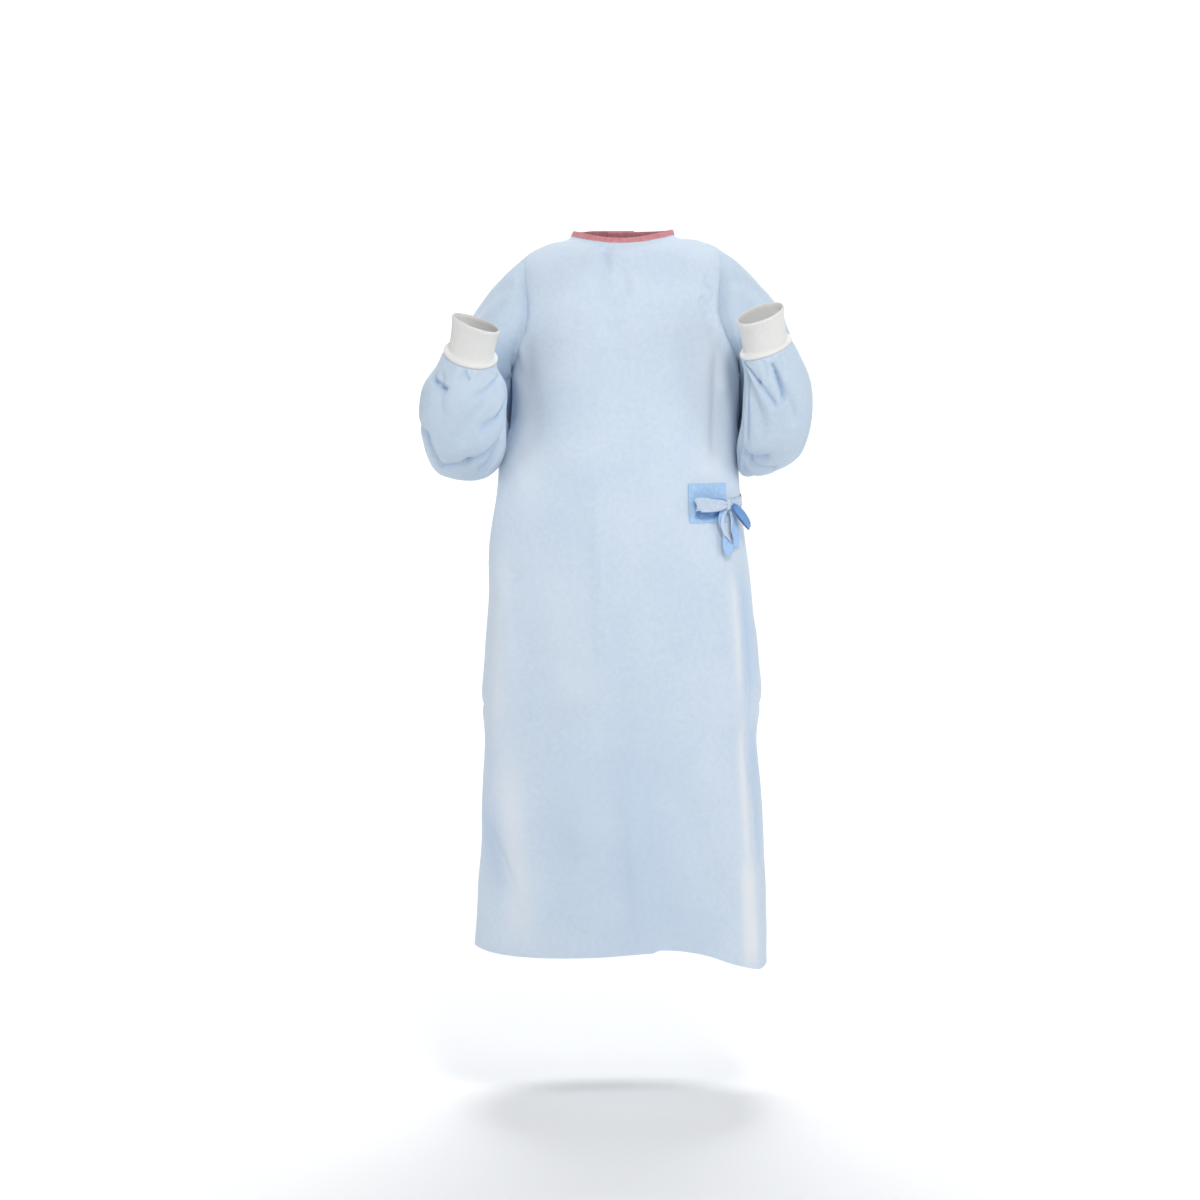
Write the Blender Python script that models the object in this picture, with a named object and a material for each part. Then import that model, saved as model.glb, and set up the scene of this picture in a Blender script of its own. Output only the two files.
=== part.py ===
# Surgical gown in its worn form, with the forearms raised. Metres, +Z up, -Y the gown's front, +X the
# wearer's left. The origin lies midway between the points where the shoulder seams meet the neck.

import math

import bmesh
import bpy
import numpy as np

WALL = 0.0016  # each panel, outer face to inner face
SEAM_GAP = 0.0003  # left between sewn pieces
LIE_GAP = 0.0010  # under what lies on a curved panel
TIE_WALL = 0.0014
PATCH_WALL = 0.0012
TAB_WALL = 0.0015

# Levels run up the side of the body: heights below the shoulder, then distances along the shoulder slope.
HEM_LEVEL = -1.220
WAIST_LEVEL = -0.500
UNDERARM_LEVEL = -0.240
SHOULDER_LEVEL = -0.030
NECK_LEVEL = 0.050
BINDING_TOP_LEVEL = 0.060
SKIRT_ROWS = 10
WAIST_ROWS = 5
ARMHOLE_ROWS = 12
SHOULDER_ROWS = 5
FRONT_COLUMNS = 26
BACK_RIGHT_COLUMNS = 21
BACK_LEFT_COLUMNS = 16

# Each row is one ring of the body: heights at the four sides, half widths to each side, depths, and how
# square the ring is (2 is an ellipse). Right and left are the wearer's.
BODY_COLUMNS = ("level", "z_right", "z_left", "z_front", "z_back", "right", "left", "front", "back", "square")
BODY_ROWS = (
    (HEM_LEVEL, -1.223, -1.236, -1.214, -1.226, 0.250, 0.254, 0.174, 0.196, 2.30),
    (-1.080, -1.080, -1.082, -1.080, -1.080, 0.240, 0.250, 0.166, 0.182, 2.30),
    (-0.940, -0.940, -0.940, -0.940, -0.940, 0.237, 0.244, 0.161, 0.170, 2.30),
    (-0.860, -0.860, -0.860, -0.860, -0.860, 0.234, 0.237, 0.158, 0.163, 2.30),
    (-0.800, -0.800, -0.800, -0.800, -0.800, 0.239, 0.245, 0.156, 0.159, 2.30),
    (-0.730, -0.730, -0.730, -0.730, -0.730, 0.233, 0.240, 0.154, 0.155, 2.30),
    (-0.630, -0.630, -0.630, -0.630, -0.630, 0.226, 0.231, 0.151, 0.148, 2.30),
    (-0.530, -0.530, -0.530, -0.530, -0.530, 0.223, 0.217, 0.148, 0.140, 2.30),
    (-0.445, -0.445, -0.445, -0.445, -0.445, 0.209, 0.206, 0.143, 0.132, 2.30),
    (-0.390, -0.390, -0.390, -0.390, -0.390, 0.204, 0.203, 0.139, 0.127, 2.30),
    (-0.310, -0.310, -0.310, -0.310, -0.310, 0.184, 0.203, 0.134, 0.122, 2.30),
    (UNDERARM_LEVEL, -0.240, -0.240, -0.246, -0.240, 0.184, 0.202, 0.129, 0.117, 2.30),
    (-0.130, -0.138, -0.130, -0.168, -0.145, 0.188, 0.200, 0.123, 0.110, 2.25),
    (SHOULDER_LEVEL, -0.043, -0.032, -0.096, -0.062, 0.158, 0.166, 0.115, 0.098, 2.15),
    (0.010, -0.024, -0.018, -0.057, -0.033, 0.121, 0.130, 0.103, 0.081, 2.05),
    (NECK_LEVEL, -0.0110, -0.0080, -0.0255, -0.0090, 0.083, 0.092, 0.088, 0.062, 2.0),
    (BINDING_TOP_LEVEL, -0.0020, 0.0010, -0.0175, 0.0005, 0.079, 0.089, 0.083, 0.058, 2.0),
)

# Angles run round the body in degrees from the front, positive to the wearer's left.
SIDE_ANGLE = 90.0
ARMHOLE_FRONT = 37.0  # how far the armhole cuts into the front at its middle
ARMHOLE_BACK = 32.0

# Long soft folds: each runs from one angle and level to another. A positive depth is a ridge.
FOLD_COLUMNS = ("top", "low", "angle_top", "angle_low", "width", "depth", "fade_top", "fade_low")
FOLD_ROWS = (
    (0.045, -0.260, -17.0, 6.0, 7.0, -0.0050, 0.020, 0.160),  # neckline to the breast
    (-0.440, -1.220, -10.0, 6.0, 7.0, -0.0035, 0.100, 0.010),  # centre front, pressed in packing
    (-0.540, -0.900, 54.0, 49.5, 8.0, 0.0090, 0.080, 0.300),  # ridge under the bow
    (-0.780, -1.230, 52.0, 58.0, 8.0, 0.0080, 0.200, 0.010),
    (-0.530, -1.180, 71.0, 69.0, 9.0, -0.0170, 0.080, 0.300),  # the hollow behind that ridge
    (-0.180, -0.460, 49.0, 50.0, 6.0, -0.0055, 0.050, 0.150),  # under the wearer's left armhole
    (-0.190, -0.330, 67.0, 66.0, 7.0, 0.0050, 0.040, 0.080),
    (-0.150, -0.400, -52.0, -47.0, 7.0, -0.0050, 0.050, 0.150),  # under the wearer's right armhole
    (-0.520, -1.220, -58.0, -52.0, 9.0, 0.0060, 0.200, 0.010),
    (-0.560, -1.220, -36.0, -30.0, 9.0, -0.0045, 0.200, 0.010),
    (-0.420, -1.220, 140.0, 146.0, 10.0, -0.0110, 0.250, 0.010),  # back skirt
    (-0.480, -1.220, 166.0, 172.0, 11.0, 0.0080, 0.250, 0.010),
    (-0.440, -1.220, -163.0, -160.0, 10.0, -0.0080, 0.250, 0.010),
    (-0.380, -1.220, -136.0, -128.0, 11.0, 0.0100, 0.300, 0.010),
    (-0.500, -1.220, -112.0, -106.0, 9.0, -0.0100, 0.300, 0.010),
    (-0.060, -0.360, -150.0, -158.0, 9.0, -0.0050, 0.060, 0.160),  # across the shoulder blades
    (-0.080, -0.380, 150.0, 156.0, 9.0, -0.0050, 0.060, 0.160),
)

# How far the hem hangs below its even line at each angle, and the height over which that fades out.
HEM_COLUMNS = ("angle", "drop")
HEM_ROWS = (
    (-180.0, 0.004),
    (-120.0, 0.006),
    (-75.0, 0.000),
    (-40.0, 0.003),
    (-5.0, 0.000),
    (14.0, -0.007),
    (32.0, -0.005),
    (46.0, 0.011),
    (60.0, 0.021),
    (90.0, 0.013),
    (130.0, 0.000),
    (180.0, 0.004),
)
HEM_FADE = 0.50

# The wrap: the wearer's right back panel lies over the left one and ends at the wearer's left side.
LAP_LIFT = 0.0052
LAP_LIFT_FROM = -122.0
LAP_LIFT_TO = -150.0
EDGE_COLUMNS = ("level", "outer", "inner")
EDGE_ROWS = (
    (HEM_LEVEL, -247.0, 209.0),
    (-0.900, -246.0, 208.0),
    (-0.500, -242.5, 206.0),
    (-0.240, -229.0, 203.0),
    (-0.060, -211.0, 199.0),
    (BINDING_TOP_LEVEL, -197.0, 196.0),
)
EDGE_FLARE = 0.007  # how far the outer edge stands away at the hem
FLARE_FROM = -215.0
FLARE_DEGREES = 30.0
FLARE_HEIGHT = 0.70

# A sleeve is a run of rings. Each row gives the four points of one ring, as distance out from the body's
# middle, y and z: in the crook of the arm, on the outer side, at the back of the arm and next the body.
SLEEVE_COLUMNS = ("crook", "outer", "elbow", "inner")
SLEEVE_RIGHT = (
    ((0.176, -0.090, -0.150), (0.190, 0.000, -0.072), (0.180, 0.080, -0.145), (0.192, 0.000, -0.2450)),
    ((0.205, -0.088, -0.190), (0.230, -0.002, -0.115), (0.215, 0.070, -0.190), (0.197, -0.004, -0.262)),
    ((0.235, -0.082, -0.232), (0.270, -0.010, -0.185), (0.243, 0.058, -0.250), (0.199, -0.014, -0.285)),
    ((0.256, -0.078, -0.265), (0.303, -0.025, -0.270), (0.262, 0.040, -0.325), (0.203, -0.030, -0.322)),
    ((0.262, -0.0795, -0.2785), (0.320, -0.060, -0.335), (0.266, -0.005, -0.400), (0.204, -0.060, -0.362)),
    ((0.262, -0.083, -0.2810), (0.326, -0.098, -0.345), (0.264, -0.070, -0.420), (0.192, -0.098, -0.362)),
    ((0.262, -0.0865, -0.2785), (0.334, -0.125, -0.310), (0.262, -0.145, -0.385), (0.185, -0.125, -0.318)),
    ((0.262, -0.092, -0.262), (0.326, -0.142, -0.266), (0.262, -0.190, -0.310), (0.187, -0.142, -0.268)),
    ((0.256, -0.110, -0.228), (0.302, -0.155, -0.232), (0.256, -0.203, -0.262), (0.203, -0.155, -0.238)),
)
SLEEVE_LEFT = (
    ((0.186, -0.090, -0.148), (0.204, 0.000, -0.062), (0.190, 0.080, -0.142), (0.212, 0.000, -0.2460)),
    ((0.212, -0.088, -0.186), (0.248, -0.002, -0.105), (0.224, 0.070, -0.186), (0.216, -0.004, -0.262)),
    ((0.236, -0.082, -0.228), (0.283, -0.008, -0.160), (0.247, 0.058, -0.243), (0.217, -0.014, -0.285)),
    ((0.252, -0.078, -0.262), (0.305, -0.025, -0.250), (0.262, 0.040, -0.315), (0.216, -0.030, -0.318)),
    ((0.257, -0.0795, -0.2750), (0.314, -0.060, -0.325), (0.262, -0.005, -0.390), (0.212, -0.060, -0.355)),
    ((0.257, -0.083, -0.2775), (0.316, -0.095, -0.330), (0.257, -0.070, -0.408), (0.205, -0.095, -0.355)),
    ((0.257, -0.0865, -0.2750), (0.318, -0.125, -0.298), (0.256, -0.145, -0.370), (0.203, -0.125, -0.310)),
    ((0.256, -0.092, -0.256), (0.312, -0.142, -0.252), (0.254, -0.190, -0.296), (0.203, -0.142, -0.260)),
    ((0.249, -0.110, -0.218), (0.294, -0.155, -0.213), (0.249, -0.203, -0.246), (0.200, -0.155, -0.230)),
)
SLEEVE_SQUARE = 2.4
SLEEVE_RINGS = 20
SLEEVE_LENGTH = 0.52  # along the arm, for the places of its folds
SLEEVE_RADIUS = 0.065
# The shares of a sleeve's length over which it leaves the armhole's shape, turns square, and starts and ends
# its folds.
ARMHOLE_BLEND = 0.22
SQUARE_BLEND = 0.20
FOLD_START = 0.08
FOLD_END = 0.06

# Folds on a sleeve: from one place along the sleeve (0 to 1) and angle round it to another. The angle is 0
# in the crook, 90 on the outer side, 180 at the back of the arm and 270 next the body.
SLEEVE_FOLD_COLUMNS = ("from_along", "from_angle", "to_along", "to_angle", "width", "depth")
SLEEVE_FOLDS_RIGHT = (
    (0.86, 235.0, 0.76, 185.0, 0.012, -0.0050),
    (0.72, 262.0, 0.64, 215.0, 0.013, -0.0055),
    (0.90, 130.0, 0.80, 152.0, 0.009, -0.0050),
    (0.66, 95.0, 0.56, 140.0, 0.013, -0.0055),
    (0.58, 165.0, 0.55, 215.0, 0.011, -0.0045),
    (0.40, 20.0, 0.46, 80.0, 0.012, -0.0050),
    (0.10, 40.0, 0.24, 62.0, 0.014, -0.0050),
    (0.12, 145.0, 0.30, 165.0, 0.016, -0.0060),
    (0.36, 130.0, 0.46, 175.0, 0.014, -0.0055),
)
SLEEVE_FOLDS_LEFT = (
    (0.88, 252.0, 0.78, 205.0, 0.012, -0.0055),
    (0.90, 178.0, 0.76, 150.0, 0.010, -0.0045),
    (0.80, 262.0, 0.64, 258.0, 0.011, -0.0055),
    (0.62, 232.0, 0.56, 195.0, 0.012, -0.0050),
    (0.64, 95.0, 0.54, 135.0, 0.013, -0.0055),
    (0.41, 25.0, 0.47, 82.0, 0.012, -0.0050),
    (0.09, 42.0, 0.25, 66.0, 0.014, -0.0055),
    (0.14, 140.0, 0.31, 160.0, 0.016, -0.0060),
    (0.34, 135.0, 0.45, 170.0, 0.014, -0.0050),
)

# A cuff runs from its base to its top. Roll lifts its outer side, tilt lowers its front; both in degrees.
CUFF_COLUMNS = ("out", "y", "z", "roll", "tilt")
CUFF_RIGHT = ((0.247, -0.160, -0.215, 10.0, 28.0), (0.236, -0.190, -0.160, 19.0, 15.0))
CUFF_LEFT = ((0.239, -0.160, -0.203, 19.0, 18.0), (0.227, -0.190, -0.145, 19.0, 20.0))
CUFF_LENGTH = 0.0636
CUFF_BASE_RADIUS = 0.0438
CUFF_SIDES = 24
# The knit's outer and inner radius along the cuff, with the rolled seam at its base.
CUFF_PROFILE_COLUMNS = ("along", "outer", "inner")
CUFF_PROFILE = (
    (0.0000, 0.0436, 0.0405),
    (0.0012, 0.0446, 0.0394),
    (0.0060, 0.0446, 0.0378),
    (0.0080, 0.0432, 0.0368),
    (0.0092, 0.0395, 0.0358),
    (0.0180, 0.0372, 0.0350),
    (0.0340, 0.0372, 0.0350),
    (0.0500, 0.0385, 0.0363),
    (0.0622, 0.0400, 0.0378),
    (0.0636, 0.0396, 0.0384),
)

BINDING_WALL = 0.0030
BINDING_START = 194.5
BINDING_END = -195.5
BINDING_CORNER = 0.0011
BINDING_STEPS = 52

# The tie patch and the bow on the wearer's left front waist.
PATCH_ANGLES = (31.5, 55.0)
PATCH_LEVELS = (-0.4915, -0.4255)
PATCH_CELLS = (8, 3)
KNOT_ANGLE = 54.0
KNOT_LEVEL = -0.460
KNOT_WIDTH = 0.0088
KNOT_HEIGHT = 0.0200
KNOT_DEPTH = 0.0120
KNOT_OUT = 0.0100  # the knot's middle, off the front panel
KNOT_SQUARE = 0.75  # 1 is a ball, less is nearer a box
KNOT_CELLS = (12, 8)
# Ribbons: side is along the front panel from the knot, up is up it and out is off its face. Half is half
# the ribbon's width; turn is how far the width leans out from upright, and lean how far it leans along the
# panel, in degrees.
RIBBON_COLUMNS = ("side", "out", "up", "half", "turn", "lean")
LOOP_RIGHT = (
    (-0.0062, 0.0140, -0.0005, 0.0052, 0.0, 0.0),
    (-0.0140, 0.0170, -0.0008, 0.0078, 2.0, 0.0),
    (-0.0260, 0.0190, -0.0012, 0.0108, 2.0, 0.0),
    (-0.0400, 0.0190, -0.0012, 0.0125, 3.0, 0.0),
    (-0.0520, 0.0165, -0.0018, 0.0122, 4.0, -4.0),
    (-0.0592, 0.0118, -0.0060, 0.0116, 4.0, -14.0),
    (-0.0530, 0.0075, -0.0120, 0.0114, 3.0, -12.0),
    (-0.0410, 0.0056, -0.0138, 0.0114, 0.0, -6.0),
    (-0.0290, 0.0056, -0.0120, 0.0108, 0.0, 0.0),
    (-0.0170, 0.0066, -0.0075, 0.0084, 0.0, 0.0),
    (-0.0062, 0.0082, -0.0020, 0.0046, 0.0, 0.0),
)
LOOP_LEFT = (
    (0.0062, 0.0140, -0.0030, 0.0040, 0.0, 30.0),
    (0.0080, 0.0180, -0.0125, 0.0058, 0.0, 50.0),
    (0.0120, 0.0212, -0.0220, 0.0068, 0.0, 55.0),
    (0.0190, 0.0232, -0.0325, 0.0070, 0.0, 52.0),
    (0.0305, 0.0225, -0.0410, 0.0068, 0.0, 46.0),
    (0.0380, 0.0185, -0.0448, 0.0066, 0.0, 44.0),
    (0.0325, 0.0142, -0.0420, 0.0066, 0.0, 46.0),
    (0.0210, 0.0118, -0.0335, 0.0068, 0.0, 52.0),
    (0.0125, 0.0098, -0.0215, 0.0060, 0.0, 52.0),
    (0.0068, 0.0086, -0.0080, 0.0040, 0.0, 40.0),
)
TAIL_RIGHT = (
    (-0.0050, 0.0095, -0.0120, 0.0032, 0.0, -45.0),
    (-0.0190, 0.0115, -0.0225, 0.0045, 0.0, -62.0),
    (-0.0245, 0.0105, -0.0385, 0.0052, 0.0, -90.0),
    (-0.0210, 0.0105, -0.0570, 0.0075, 0.0, -108.0),
    (-0.0155, 0.0110, -0.0740, 0.0102, 0.0, -114.0),
    (-0.0108, 0.0110, -0.0865, 0.0090, 0.0, -126.0),
)
TAIL_LEFT = (
    (0.0028, 0.0070, -0.0135, 0.0032, 0.0, 80.0),
    (0.0082, 0.0060, -0.0286, 0.0068, 0.0, 78.0),
    (0.0118, 0.0060, -0.0456, 0.0090, 0.0, 80.0),
    (0.0130, 0.0064, -0.0624, 0.0088, 0.0, 88.0),
    (0.0100, 0.0064, -0.0712, 0.0068, 0.0, 94.0),
)
LOOP_STEPS = 24
TAIL_RIGHT_STEPS = 12
TAIL_LEFT_STEPS = 9
# The tie from the wrap's edge, on the panels: angle, level and half width.
WAIST_TIE_COLUMNS = ("angle", "level", "half")
WAIST_TIE_STEPS = 16
WAIST_TIE_STEP_FROM = 5.0  # degrees inside the wrap's edge
# Near the knot the tie lifts off the panel.
KNOT_LIFT = 0.003
KNOT_LIFT_FROM = 66.0
KNOT_LIFT_DEGREES = 9.0
WAIST_TIE = (
    (126.0, -0.4560, 0.0120),
    (112.0, -0.4560, 0.0120),
    (90.0, -0.4575, 0.0110),
    (72.0, -0.4585, 0.0090),
    (57.0, -0.4590, 0.0060),
)
TAB_ANGLES = (-170.0, -210.0)
TAB_LEVELS = (0.019, 0.044)
TAB_CELLS = (16, 3)
TAB_STEP_FROM = 3.0  # degrees past the wrap's edge
STEP_DEGREES = 4.0  # what crosses the wrap's edge steps down over this

PANEL_BLUE = (0.70, 0.80, 0.90, 1.0)
KNIT_WHITE = (0.74, 0.74, 0.72, 1.0)
BINDING_PINK = (0.74, 0.25, 0.29, 1.0)
PATCH_BLUE = (0.42, 0.63, 0.86, 1.0)
TIE_BLUE = (0.40, 0.60, 0.84, 1.0)
TAB_WHITE = (0.80, 0.81, 0.82, 1.0)
CLOTH_ROUGHNESS = 0.8
KNIT_ROUGHNESS = 0.95
SHARP_DEGREES = 50.0


def table(columns, rows):
    return {name: np.array([row[i] for row in rows], float) for i, name in enumerate(columns)}


BODY = table(BODY_COLUMNS, BODY_ROWS)
EDGES = table(EDGE_COLUMNS, EDGE_ROWS)
HEM = table(HEM_COLUMNS, HEM_ROWS)


def smooth(x, xs, ys):
    # A curve through the table's points; ys may hold points.
    slope = np.gradient(ys, xs, axis=0)
    i = np.clip(np.searchsorted(xs, x, side="right") - 1, 0, len(xs) - 2)
    step = xs[i + 1] - xs[i]
    t = (x - xs[i]) / step
    if ys.ndim > 1:
        step, t = step[..., None], t[..., None]
    start = (1 + 2 * t) * (1 - t) ** 2 * ys[i] + t * (1 - t) ** 2 * step * slope[i]
    return start + t * t * (3 - 2 * t) * ys[i + 1] + t * t * (t - 1) * step * slope[i + 1]


def ease(x):
    x = np.clip(x, 0.0, 1.0)
    return x * x * (3 - 2 * x)


def unit(v):
    return v / np.maximum(np.linalg.norm(v, axis=-1, keepdims=True), 1e-12)


def body_folds(angle, level):
    depth = np.zeros(np.broadcast(angle, level).shape)
    for row in FOLD_ROWS:
        fold = dict(zip(FOLD_COLUMNS, row))
        along = (level - fold["low"]) / (fold["top"] - fold["low"])
        middle = fold["angle_low"] + (fold["angle_top"] - fold["angle_low"]) * np.clip(along, 0, 1)
        away = (angle - middle + 180) % 360 - 180
        ends = ease((fold["top"] - level) / fold["fade_top"]) * ease((level - fold["low"]) / fold["fade_low"])
        depth += fold["depth"] * ends * np.exp(-((away / fold["width"]) ** 2))
    return depth


def lap_lift(angle, level):
    # The outer wrap leaves the side seam flush, rises over the inner panel and flares a little at its edge.
    rise = LAP_LIFT * ease((LAP_LIFT_FROM - angle) / (LAP_LIFT_FROM - LAP_LIFT_TO))
    free = ease((FLARE_FROM - angle) / FLARE_DEGREES) * ease((WAIST_LEVEL - level) / FLARE_HEIGHT)
    return rise + EDGE_FLARE * free


def body(angle, level):
    # A point of the gown's outer face.
    angle, level = np.broadcast_arrays(np.asarray(angle, float), np.asarray(level, float))
    row = {name: smooth(level, BODY["level"], BODY[name]) for name in BODY_COLUMNS}
    turn = np.radians(angle)
    c, s = np.cos(turn), np.sin(turn)
    wide = np.where(s > 0, row["left"], row["right"])
    deep = np.where(c > 0, row["front"], row["back"])
    side_z = np.where(s > 0, row["z_left"], row["z_right"])
    middle_z = np.where(c > 0, row["z_front"], row["z_back"])
    n = row["square"]
    reach = (np.abs(c) ** n + np.abs(s) ** n) ** (-1 / n)
    out = unit(np.stack([s / wide, -c / deep], -1)) * body_folds(angle, level)[..., None]
    drop = smooth((angle + 180) % 360 - 180, HEM["angle"], HEM["drop"])
    drop = drop * ease((HEM_LEVEL + HEM_FADE - level) / HEM_FADE) ** 2
    x = wide * reach * s + out[..., 0]
    y = -deep * reach * c + out[..., 1]
    return np.stack([x, y, side_z * s * s + middle_z * c * c - drop], -1)


def body_normal(angle, level):
    turn, rise = 0.2, 0.001
    across = body(angle + turn, level) - body(angle - turn, level)
    up = body(angle, np.minimum(level + rise, BINDING_TOP_LEVEL)) - body(angle, level - rise)
    return unit(np.cross(across, up))


def panel_point(angle, level, out):
    # A point this far out from the face of the panel that lies there, the wrap's own face below -90 degrees.
    lift = np.asarray(out + lap_lift(angle, level))
    return body(angle, level) + body_normal(angle, level) * lift[..., None]


def degrees_for(distance, angle, level):
    step = 0.05
    moved = np.linalg.norm(body(angle + step, level) - body(angle - step, level), axis=-1)
    return distance * 2 * step / moved


def armhole_level(turns):
    # Half a turn leads up the armhole's edge from the underarm to the shoulder.
    middle = (UNDERARM_LEVEL + SHOULDER_LEVEL) / 2
    half = (SHOULDER_LEVEL - UNDERARM_LEVEL) / 2
    return middle - half * np.cos(turns)


def levels_of_body():
    # The panels' rows, and how far the armhole cuts in at each: 0 to 1.
    skirt = np.linspace(HEM_LEVEL, WAIST_LEVEL, SKIRT_ROWS + 1)[:-1]
    waist = np.linspace(WAIST_LEVEL, UNDERARM_LEVEL, WAIST_ROWS + 1)[:-1]
    turns = np.linspace(0, math.pi, ARMHOLE_ROWS + 1)
    shoulder = np.linspace(SHOULDER_LEVEL, NECK_LEVEL, SHOULDER_ROWS + 1)[1:]
    levels = np.concatenate([skirt, waist, armhole_level(turns), shoulder])
    cut = np.zeros(len(levels))
    first = len(skirt) + len(waist)
    cut[first : first + len(turns)] = np.sin(turns)
    return levels, cut


def side_limits(side, cut_degrees):
    # The panel's edge at one side: a seam gap short of the side seam, and cut back round the armhole.
    levels, cut = levels_of_body()
    seam = degrees_for(SEAM_GAP / 2, SIDE_ANGLE * side, levels)
    return SIDE_ANGLE + math.copysign(1, cut_degrees) * seam + cut_degrees * cut


def make_object(name, points, faces, colour, roughness=CLOTH_ROUGHNESS):
    mesh = bpy.data.meshes.new(name)
    mesh.from_pydata([tuple(p) for p in points], [], faces)
    shape = bmesh.new()
    shape.from_mesh(mesh)
    bmesh.ops.recalc_face_normals(shape, faces=shape.faces)
    bmesh.ops.triangulate(shape, faces=shape.faces)
    shape.to_mesh(mesh)
    shape.free()
    mesh.shade_smooth()
    mesh.set_sharp_from_angle(angle=math.radians(SHARP_DEGREES))
    material = bpy.data.materials.new(name + "_cloth")
    material.use_nodes = True
    surface = material.node_tree.nodes["Principled BSDF"]
    surface.inputs["Base Color"].default_value = colour
    surface.inputs["Roughness"].default_value = roughness
    mesh.materials.append(material)
    obj = bpy.data.objects.new(name, mesh)
    bpy.context.scene.collection.objects.link(obj)


def make_wall(name, outer, inner, colour, roughness=CLOTH_ROUGHNESS, tube=False):
    # Joins two grids of points, rows by columns, into one closed wall. A tube's columns run right round.
    rows, columns = outer.shape[:2]
    count = rows * columns
    faces = []

    def at(i, j):
        return i * columns + j % columns

    def strip(a, b):
        faces.append((a, b, b + count, a + count))

    for i in range(rows - 1):
        for j in range(columns if tube else columns - 1):
            face = (at(i, j), at(i, j + 1), at(i + 1, j + 1), at(i + 1, j))
            faces.append(face)
            faces.append(tuple(corner + count for corner in reversed(face)))
        if not tube:
            strip(at(i + 1, 0), at(i, 0))
            strip(at(i, columns - 1), at(i + 1, columns - 1))
    for j in range(columns if tube else columns - 1):
        strip(at(0, j), at(0, j + 1))
        strip(at(rows - 1, j + 1), at(rows - 1, j))
    points = np.concatenate([outer.reshape(-1, 3), inner.reshape(-1, 3)])
    make_object(name, points, faces, colour, roughness)


def make_panel(name, start, end, columns):
    # A body panel between two edges, each an angle for every level.
    levels, _ = levels_of_body()
    share = np.linspace(0, 1, columns + 1)
    angle = start[:, None] + (end - start)[:, None] * share
    level = np.repeat(levels[:, None], columns + 1, axis=1)
    make_wall(name, panel_point(angle, level, 0.0), panel_point(angle, level, -WALL), PANEL_BLUE)


def make_body():
    levels, _ = levels_of_body()
    front_edges = -side_limits(-1, -ARMHOLE_FRONT), side_limits(1, -ARMHOLE_FRONT)
    make_panel("front", *front_edges, FRONT_COLUMNS)
    outer_edge = smooth(levels, EDGES["level"], EDGES["outer"])
    inner_edge = smooth(levels, EDGES["level"], EDGES["inner"])
    make_panel("back_right", outer_edge, -side_limits(-1, ARMHOLE_BACK), BACK_RIGHT_COLUMNS)
    make_panel("back_left", side_limits(1, ARMHOLE_BACK), inner_edge, BACK_LEFT_COLUMNS)


def cuff_ring(cuff, side, along, radius, angles):
    # A ring round the arm at a distance up from the cuff's base.
    share = along / CUFF_LENGTH
    at = {name: base + (top - base) * share for name, base, top in zip(CUFF_COLUMNS, *cuff)}
    roll, tilt = math.radians(at["roll"]), math.radians(at["tilt"])
    crook = np.array([0.0, math.cos(tilt), math.sin(tilt)])
    outer = unit(np.array([math.cos(roll), 0.0, math.sin(roll)]))
    turn = np.radians(angles)[:, None]
    middle = np.array([at["out"], at["y"], at["z"]])
    ring = middle + radius * (np.cos(turn) * crook + np.sin(turn) * outer)
    return ring * np.array([side, 1.0, 1.0])


def armhole_ring(side, angles):
    # The armhole's edge, and the direction that leads off the panels there into the hole.
    front = (angles <= 90) | (angles > 270)
    turns = np.radians(np.where(front, (angles + 90) % 360, 270 - angles))
    cut = np.where(front, -ARMHOLE_FRONT, ARMHOLE_BACK) * np.sin(turns)
    angle, level = side * (SIDE_ANGLE + cut), armhole_level(turns)
    edge = body(angle, level)
    normal = body_normal(angle, level)
    along = np.roll(edge, -1, axis=0) - np.roll(edge, 1, axis=0)
    into = unit(np.cross(normal, along))
    toward_hole = edge.mean(axis=0) - edge
    into *= np.sign(np.sum(into * toward_hole, axis=-1))[:, None]
    return edge, into


def sleeve_points(side, stations, cuff, angles):
    # The sleeve's outer face, ring by ring from the armhole to the cuff.
    edge, into = armhole_ring(side, angles)
    quarter = np.array([0.0, 90.0, 180.0, 270.0])
    first = armhole_ring(side, quarter)[0] * np.array([side, 1.0, 1.0])
    last_ring = cuff_ring(cuff, side, -SEAM_GAP, CUFF_BASE_RADIUS, quarter) * np.array([side, 1.0, 1.0])
    rails = np.array([first] + [np.array(row) for row in stations] + [last_ring])
    place = np.linspace(0, len(rails) - 1, SLEEVE_RINGS + 1)
    order = np.arange(len(rails))
    rail = {name: smooth(place, order, rails[:, k]) for k, name in enumerate(SLEEVE_COLUMNS)}
    crook, outer, elbow, inner = (rail[name] for name in SLEEVE_COLUMNS)
    middle = (crook + outer + elbow + inner) / 4
    forward, sideways = (crook - elbow) / 2, (outer - inner) / 2
    skew = (crook + elbow - outer - inner) / 4
    turn = np.radians(angles)[None, :, None]
    c, s = np.cos(turn), np.sin(turn)
    share = (place / place[-1])[:, None, None]
    square = 2 + (SLEEVE_SQUARE - 2) * ease(share / SQUARE_BLEND) * ease((1 - share) / SQUARE_BLEND)
    reach = (np.abs(c) ** square + np.abs(s) ** square) ** (-1 / square)
    points = middle[:, None] + (forward[:, None] * c + sideways[:, None] * s) * reach
    points = points + skew[:, None] * np.cos(2 * turn)
    points = points * np.array([side, 1.0, 1.0])
    start = edge + into * SEAM_GAP
    points = points + (start - points[0])[None] * (1 - ease(share / ARMHOLE_BLEND))
    return points, into


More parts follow.
